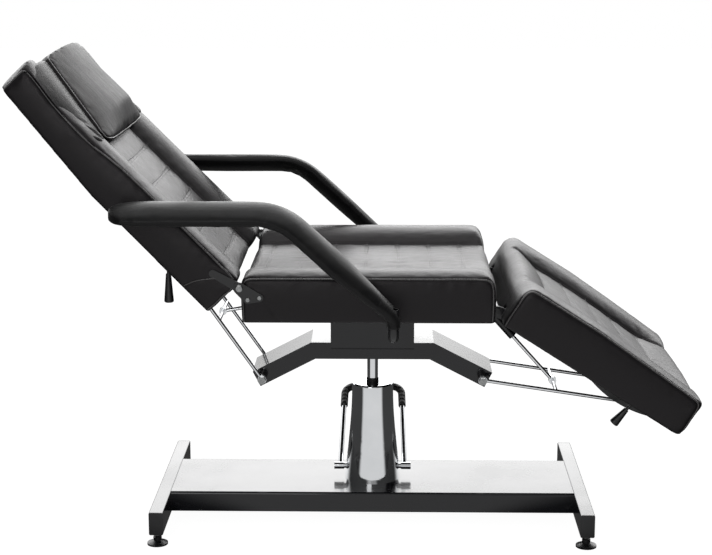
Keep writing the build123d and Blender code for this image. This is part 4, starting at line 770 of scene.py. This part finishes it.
def finer(piece):
    """One round of smooth subdivision."""
    smooth = piece.modifiers.new("finer", "SUBSURF")
    smooth.levels = 1
    smooth.render_levels = 1
    settle(piece)


def dress(piece, body, material, stands_for=None):
    """Give a finished piece its finish and its body, and hide the CAD node it stands for."""
    piece.data.materials.clear()
    piece.data.materials.append(material)
    for face in piece.data.polygons:
        face.use_smooth = True
    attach(piece, body)
    if stands_for:
        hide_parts(stands_for)
    print(piece.name, "has", len(piece.data.polygons), "faces")
    return piece


def stuff(pad, held, stays, seams, cap, hold=0.0045, pressure=4.0, wave=0.0009):
    """Swell a pad between its seams, then sew them in."""
    gap = nearest_seams(read_points(pad.data), seams)[1]
    blow_up(pad, held | (gap < hold), cap, pressure)
    finer(pad)
    sew(pad, seams, stays(pad), wave)


print("sewing helpers ready")

# %% [markdown]
# ## Piping
# Where the side panels meet the face, a cord wrapped in vinyl is sewn between them.
# It could be a tube swept by hand, but the pads have swelled by then. A curve whose
# points are pulled onto the swollen skin follows it closely, gets a round bevel and
# closed ends, and is then made a mesh.

# %% Piping


def piping(name, pad, line, body, radius=0.0020, lift=0.0004, closed=False):
    """A welt of vinyl round a cord, laid on a pad along a route."""
    laid = on_surface(pad, line, lift)
    for _ in range(3):
        laid[1:-1] = (laid[:-2] + laid[1:-1] * 2 + laid[2:]) / 4
    laid = laid[::2]
    curve = bpy.data.curves.new(name, "CURVE")
    curve.dimensions = "3D"
    curve.bevel_depth = radius
    curve.bevel_resolution = 2
    curve.use_fill_caps = True
    spline = curve.splines.new("POLY")
    spline.points.add(len(laid) - 1)
    spline.points.foreach_set("co", np.column_stack([laid, np.ones(len(laid))]).ravel())
    spline.use_cyclic_u = closed
    strand = link_piece(name + "_line", curve)
    bpy.context.view_layer.update()
    shown = strand.evaluated_get(bpy.context.evaluated_depsgraph_get())
    mesh = bpy.data.meshes.new_from_object(shown)
    bpy.data.objects.remove(strand)
    mesh.name = name
    piece = link_piece(name, mesh)
    return dress(piece, body, welt_vinyl_painted_highlight)


print("piping helper ready")

# %% [markdown]
# ## Seat pad
# The seat has a low, cross-stitched panel between two firm bolsters, and a side panel
# sewn in below them with a piped edge that turns down at both ends. It could be
# sculpted, but stuffing the CAD cushion keeps its size and its fit. Its underside is
# hollow for the board and the rails, and stays as it is. The three large pads share
# their seam helpers, which come first.

# %% Seam helpers for the pads
voxel = 0.0056
half_width = 0.300
seam_inset = 0.003
panel_half = 0.176
channel_pitch = 0.070
hollow_half = 0.246
inside_plates = 0.285


def channel_starts(start, end):
    """Places of the cross seams between two ends, centred."""
    count = int((end - start) / channel_pitch)
    first = (start + end - count * channel_pitch) / 2
    return [first + i * channel_pitch for i in range(count + 1)]


def panel_line(axes, places, sides, face):
    """A route on the panel through places along it, with face as the height there."""
    return route([axes.point(s, side * panel_half, face(s)) for s, side in zip(places, sides)])


def cross_seams(axes, places, face):
    """Seams across the panel, at places along it."""
    return [Seam(panel_line(axes, (s, s), (-1, 1), face), 0.0013, 0.0036) for s in places]


def panel_edges(axes, start, end, face):
    """The two long seams where the panel meets the bolsters."""
    steps = np.linspace(start, end, 9)
    return [Seam(panel_line(axes, steps, [side] * 9, face), 0.0032, 0.0060) for side in (-1, 1)]


def side_seams(axes, corners, rounding):
    """The edge of both side panels, through corners of s and n."""
    return [
        route([axes.point(s, side * (half_width - seam_inset), n) for s, n in corners], rounding)
        for side in (-1, 1)
    ]


def plain_seams(lines, depth=0.0016, width=0.0045):
    """Seams that show no stitches, as those under a piping."""
    return [Seam(line, depth, width, stitched=False) for line in lines]


def near_segment(s, n, start, end, reach):
    """Which points lie within reach of a line between two places of s and n."""
    line = np.array(end) - np.array(start)
    place = np.column_stack([s, n]) - np.array(start)
    share = np.clip(place @ line / (line @ line), 0, 1)
    return np.linalg.norm(place - share[:, None] * line, axis=1) < reach


print("pad helpers ready")

# %% Seat pad


def seat_stays(pad):
    """Which points of the seat stay where they are: its hollow and its underside."""
    s, y, n = seat_axes.split(read_points(pad.data))
    facing = read_points(pad.data, "normal")[:, 2]
    return ((np.abs(y) < hollow_half) & (n < 0.040)) | ((n < 0.006) & (facing < -0.5))


def seat_face(s):
    """Height of the seat's panel."""
    return 0.075


seat = wrapped_copy("seat_pad", "seat_cushion", voxel)
s, y, n = seat_axes.split(read_points(seat.data))
plates = near_segment(s, n, (-0.002, 0.075), (0.045, 0.052), 0.024) & (np.abs(y) > inside_plates)
seat_held = seat_stays(seat) | plates
ease_edges(seat, ~seat_held, 9)
seat_corners = [(0.003, 0.004), (0.003, 0.094), (0.514, 0.094), (0.514, 0.004)]
seat_crease = [(0.046, 0.052), (0.064, 0.027), (0.076, 0.002)]
seat_sides = side_seams(seat_axes, seat_corners, 0.020)
seat_seams = cross_seams(seat_axes, channel_starts(0.014, 0.488), seat_face)
seat_seams += panel_edges(seat_axes, 0.004, 0.516, seat_face)
seat_seams += plain_seams(seat_sides)
seat_seams += plain_seams(side_seams(seat_axes, seat_crease, 0.004), 0.0022, 0.0040)
stuff(seat, seat_held, seat_stays, seat_seams, 0.0032)
dress(seat, "seat", vinyl_black, "seat_cushion")
for side, line in zip(("near", "far"), seat_sides):
    piping("seat_piping_" + side, seat, line, "seat")

# %% [markdown]
# ## Back pad
# The back bends a little two thirds of the way up and tapers toward the head. Its
# face is sewn as the seat's is. The rear is hollow for its board. Its side seam rises
# and falls with the bolster, and a thin piping closes its low corner over the hinge.

# %% Back pad
bend_s = 0.344
taper = math.tan(math.radians(5.2))


def back_face(s):
    """Height of the back's seam line above its hinge line, at a place up the back."""
    return float(np.interp(s, [0.006, bend_s, 0.525, 0.621], [0.009, 0.002, -0.003, 0.012]))


def back_panel(s):
    """Height of the back's panel, which lies below its seam line."""
    return back_face(s) - 0.023


def back_rear(s):
    """Height of the back's rear face."""
    return -0.084 + max(0.0, s - bend_s) * taper


def back_stays(pad):
    """Which points of the back stay: its hollow, its rear and the hinges' pockets."""
    s, y, n = back_axes.split(read_points(pad.data))
    rear = np.array([back_rear(v) for v in s])
    toward = read_points(pad.data, "normal") @ np.array(back_axes.out)
    hollow = (np.abs(y) < hollow_half) & (n < rear + 0.042) & (s < 0.590)
    under = (n < rear + 0.006) & (toward < -0.5)
    pocket = near_segment(s, n, (0.0, 0.0), (0.058, -0.018), 0.020) & (np.abs(y) > inside_plates)
    return hollow | under | pocket


back = wrapped_copy("back_pad", "back_cushion", voxel)
back_held = back_stays(back)
ease_edges(back, ~back_held, 9)
back_corners = [(0.010, -0.080), (0.010, 0.004), (0.1, 0.006), (0.235, 0.006)]
back_corners += [(0.328, 0.004), (0.365, -0.001), (0.403, -0.008), (0.441, -0.010)]
back_corners += [(0.483, -0.009), (0.526, -0.005), (0.579, 0.003), (0.614, 0.004)]
back_corners += [(0.616, back_rear(0.616) + 0.006)]
end_corners = [(0.081, -0.079), (0.074, -0.057), (0.062, -0.038), (0.047, -0.021)]
end_corners += [(0.030, -0.008), (0.014, 0.002)]
back_sides = side_seams(back_axes, back_corners, 0.016)
back_ends = side_seams(back_axes, end_corners, 0.006)
back_seams = cross_seams(back_axes, channel_starts(0.036, 0.357), back_panel)
back_seams += panel_edges(back_axes, 0.010, 0.60, back_panel)
back_seams += plain_seams(back_sides + back_ends)
stuff(back, back_held, back_stays, back_seams, 0.0045)
dress(back, "backrest", vinyl_black, "back_cushion")
for side, line, end_line in zip(("near", "far"), back_sides, back_ends):
    piping("back_piping_" + side, back, line, "backrest")
    piping("back_end_piping_" + side, back, end_line, "backrest", radius=0.0014)

# %% [markdown]
# ## Leg rest pad
# The same again, shorter: a flat pad whose tip slopes down and whose lower corners
# are rounded. Its panel runs out into a low roll at both ends.

# %% Leg rest pad


def leg_face(s):
    """Height of the leg rest's seam line."""
    return float(np.interp(s, [0.009, 0.190, 0.452], [0.095, 0.095, 0.082]))


def leg_panel(s):
    """Height of the leg rest's panel, which rises into a roll at each end."""
    dip = np.interp(s, [0.009, 0.078, 0.374, 0.452], [0.003, 0.023, 0.023, 0.003])
    return leg_face(s) - float(dip)


def leg_stays(pad):
    """Which points of the leg rest stay where they are."""
    s, y, n = leg_axes.split(read_points(pad.data))
    toward = read_points(pad.data, "normal") @ np.array(leg_axes.out)
    hollow = (np.abs(y) < hollow_half) & (n < 0.038) & (s < 0.445)
    return hollow | ((n < 0.002) & (toward < -0.5))


leg = wrapped_copy("leg_pad", "leg_cushion", voxel)
leg_held = leg_stays(leg)
ease_edges(leg, ~leg_held, 9)
leg_corners = [(0.013, 0.000), (0.013, 0.090), (0.190, 0.0925), (0.444, 0.080), (0.448, 0.012)]
leg_sides = side_seams(leg_axes, leg_corners, 0.016)
leg_seams = cross_seams(leg_axes, channel_starts(0.078, 0.374), leg_panel)
leg_seams += panel_edges(leg_axes, 0.012, 0.446, leg_panel)
leg_seams += plain_seams(leg_sides)
stuff(leg, leg_held, leg_stays, leg_seams, 0.0045)
dress(leg, "leg_rest", vinyl_black, "leg_cushion")
for side, line in zip(("near", "far"), leg_sides):
    piping("leg_piping_" + side, leg, line, "leg_rest")

# %% [markdown]
# ## Headrest pillow
# A wedge of softer foam sewn on the upper end of the back. Its crown panel has a
# piped edge all round, and a plain band goes down from it to the back. It is made as
# the pads are, but may swell further, because it is stuffed fuller.

# %% Pillow
crown_ends = [0.392, 0.609]


def pillow_side(s):
    """Height of the pillow's crown edge."""
    return float(np.interp(s, crown_ends, [0.008, 0.026]))


def pillow_stays(pad):
    """The pillow's underside, which lies on the back."""
    return (read_points(pad.data, "normal") @ np.array(back_axes.out)) < -0.35


pillow = wrapped_copy("head_pillow", "headrest_pillow", 0.0046)
pillow_held = pillow_stays(pillow)
ease_edges(pillow, ~pillow_held, 5)
edge_places = [(0.396, -0.234), (0.606, -0.165), (0.606, 0.165), (0.396, 0.234)]
crown_edge = []
for (s0, y0), (s1, y1) in zip(edge_places, edge_places[1:] + edge_places[:1]):
    for share in np.linspace(0, 1, 8)[:-1]:
        s, y = s0 + (s1 - s0) * share, y0 + (y1 - y0) * share
        crown_edge.append(back_axes.point(s, y, pillow_side(s) + 0.002))
pillow_edge = route(crown_edge, 0.011, closed=True)
pillow_seams = plain_seams([pillow_edge], depth=0.0018)
stuff(pillow, pillow_held, pillow_stays, pillow_seams, 0.008, hold=0.004, wave=0.0014)
dress(pillow, "backrest", vinyl_pillow, "headrest_pillow")
piping("pillow_piping", pillow, pillow_edge, "backrest", radius=0.0019, closed=True)

# %% [markdown]
# The band at each side of the pillow slopes from the crown's piping over the bolster
# down to the side seam of the back. It is a thin strip of vinyl that lies on the
# bolster, with a few wrinkles where it is drawn together at its low end. A cloth
# simulation could drape it, but both its edges are sewn down, so a flat grid bent
# between them and then given its thickness looks the same and never slips.

# %% Pillow bands
band_middle = 0.502
band_length = 0.208
band_foot_y = 0.2975
band_sheet = 0.0016
fold_middle = 0.425
foot_places = [crown_ends[0], 0.441, 0.483, 0.526, 0.579, 0.614]
foot_heights = [-0.005, -0.009, -0.008, -0.004, 0.004, 0.006]


def pillow_band(name, side):
    """A strip of vinyl from the crown's edge over the bolster to the side seam, in a darker copy of
    the vinyl that paints its shade.
    """
    bm = bmesh.new()
    bmesh.ops.create_grid(bm, x_segments=83, y_segments=25, size=0.5)
    for vert in bm.verts:
        s = band_middle + band_length * vert.co.x
        t = 0.5 + vert.co.y
        top_y = float(np.interp(s, crown_ends, [0.236, 0.165]))
        top_n = pillow_side(s) - 0.004
        foot_n = float(np.interp(s, foot_places, foot_heights))
        fold = noise.noise((s * 60.0 - t * 5.0, t * 2.0, side))
        fold *= math.exp(-(((s - fold_middle) / 0.035) ** 2))
        ends = min(1.0, (s - 0.396) / 0.012, (0.608 - s) / 0.010)
        rise = (0.0085 + 0.0045 * fold) * math.sin(math.pi * t) - 0.010 * (1 - ends) ** 2
        y = top_y + (band_foot_y - top_y) * t
        vert.co = back_axes.point(s, side * y, top_n + (foot_n - top_n) * t + rise)
    bmesh.ops.recalc_face_normals(bm, faces=bm.faces)
    bmesh.ops.solidify(bm, geom=bm.faces[:], thickness=band_sheet)
    bmesh.ops.recalc_face_normals(bm, faces=bm.faces)
    mesh = bpy.data.meshes.new(name)
    bm.to_mesh(mesh)
    bm.free()
    store(mesh, "seam_gap", np.full(len(mesh.vertices), 0.02))
    store(mesh, "seam_run", np.zeros(len(mesh.vertices)))
    return dress(link_piece(name, mesh), "backrest", vinyl_band_painted_shade)


pillow_band("pillow_band_near", -1)
pillow_band("pillow_band_far", 1)

# %% [markdown]
# ## Armrest pads
# Moulded foam with a skin. The two halves of the mould leave a fine line along the
# pad's outer edge, and the skin has slight waves that a gloss light picks out. A
# sweep along the tube would do as well, but the CAD pad already has that route, so
# only its tip is rounded and the mould's line pressed in.

# %% Armrest pads
arm_top = 0.7375
arm_tip_x = -0.494
arm_centre_y = 0.362
tip_length = 0.075
parting_lean = math.radians(20)


def taper_tip(arm, y):
    """Round the end of an armrest toward its tip, inside its own outline."""
    points = read_points(arm.data)
    way = np.clip((points[:, 0] - arm_tip_x) / tip_length, 0, 1)
    level = np.where(points[:, 2] > 0.68, np.sqrt(1 - (1 - way) ** 2) * 0.45 + 0.55, 1.0)
    points[:, 1] = y + (points[:, 1] - y) * level
    points[:, 2] = arm_top - 0.004 * (1 - level) + (points[:, 2] - arm_top) * level
    write_points(arm.data, points)


def none_stay(pad):
    """No point of an armrest is held."""
    return np.zeros(len(pad.data.vertices), bool)


for side, sign in (("near", -1), ("far", 1)):
    arm = wrapped_copy("arm_pad_" + side, "armrest_pad_" + side, 0.0040)
    arm_y = sign * arm_centre_y
    outward = Vector((0, sign * math.cos(parting_lean), -math.sin(parting_lean)))
    bends = [(-0.490, arm_top), (-0.1545, arm_top), (0.062, 0.539), (0.069, 0.512)]
    middle = route([(x, arm_y, z) for x, z in bends], 0.055)
    parting = [Vector(p) + outward * 0.06 for p in middle]
    arm_seams = plain_seams([on_surface(arm, parting)], 0.0010, 0.0022)
    ease_edges(arm, ~none_stay(arm), 3)
    taper_tip(arm, arm_y)
    stuff(arm, none_stay(arm), none_stay, arm_seams, 0.0020, hold=0.003, pressure=2.0, wave=0.0007)
    dress(arm, "arm_" + side, finishes["arm_foam"], "armrest_pad_" + side)
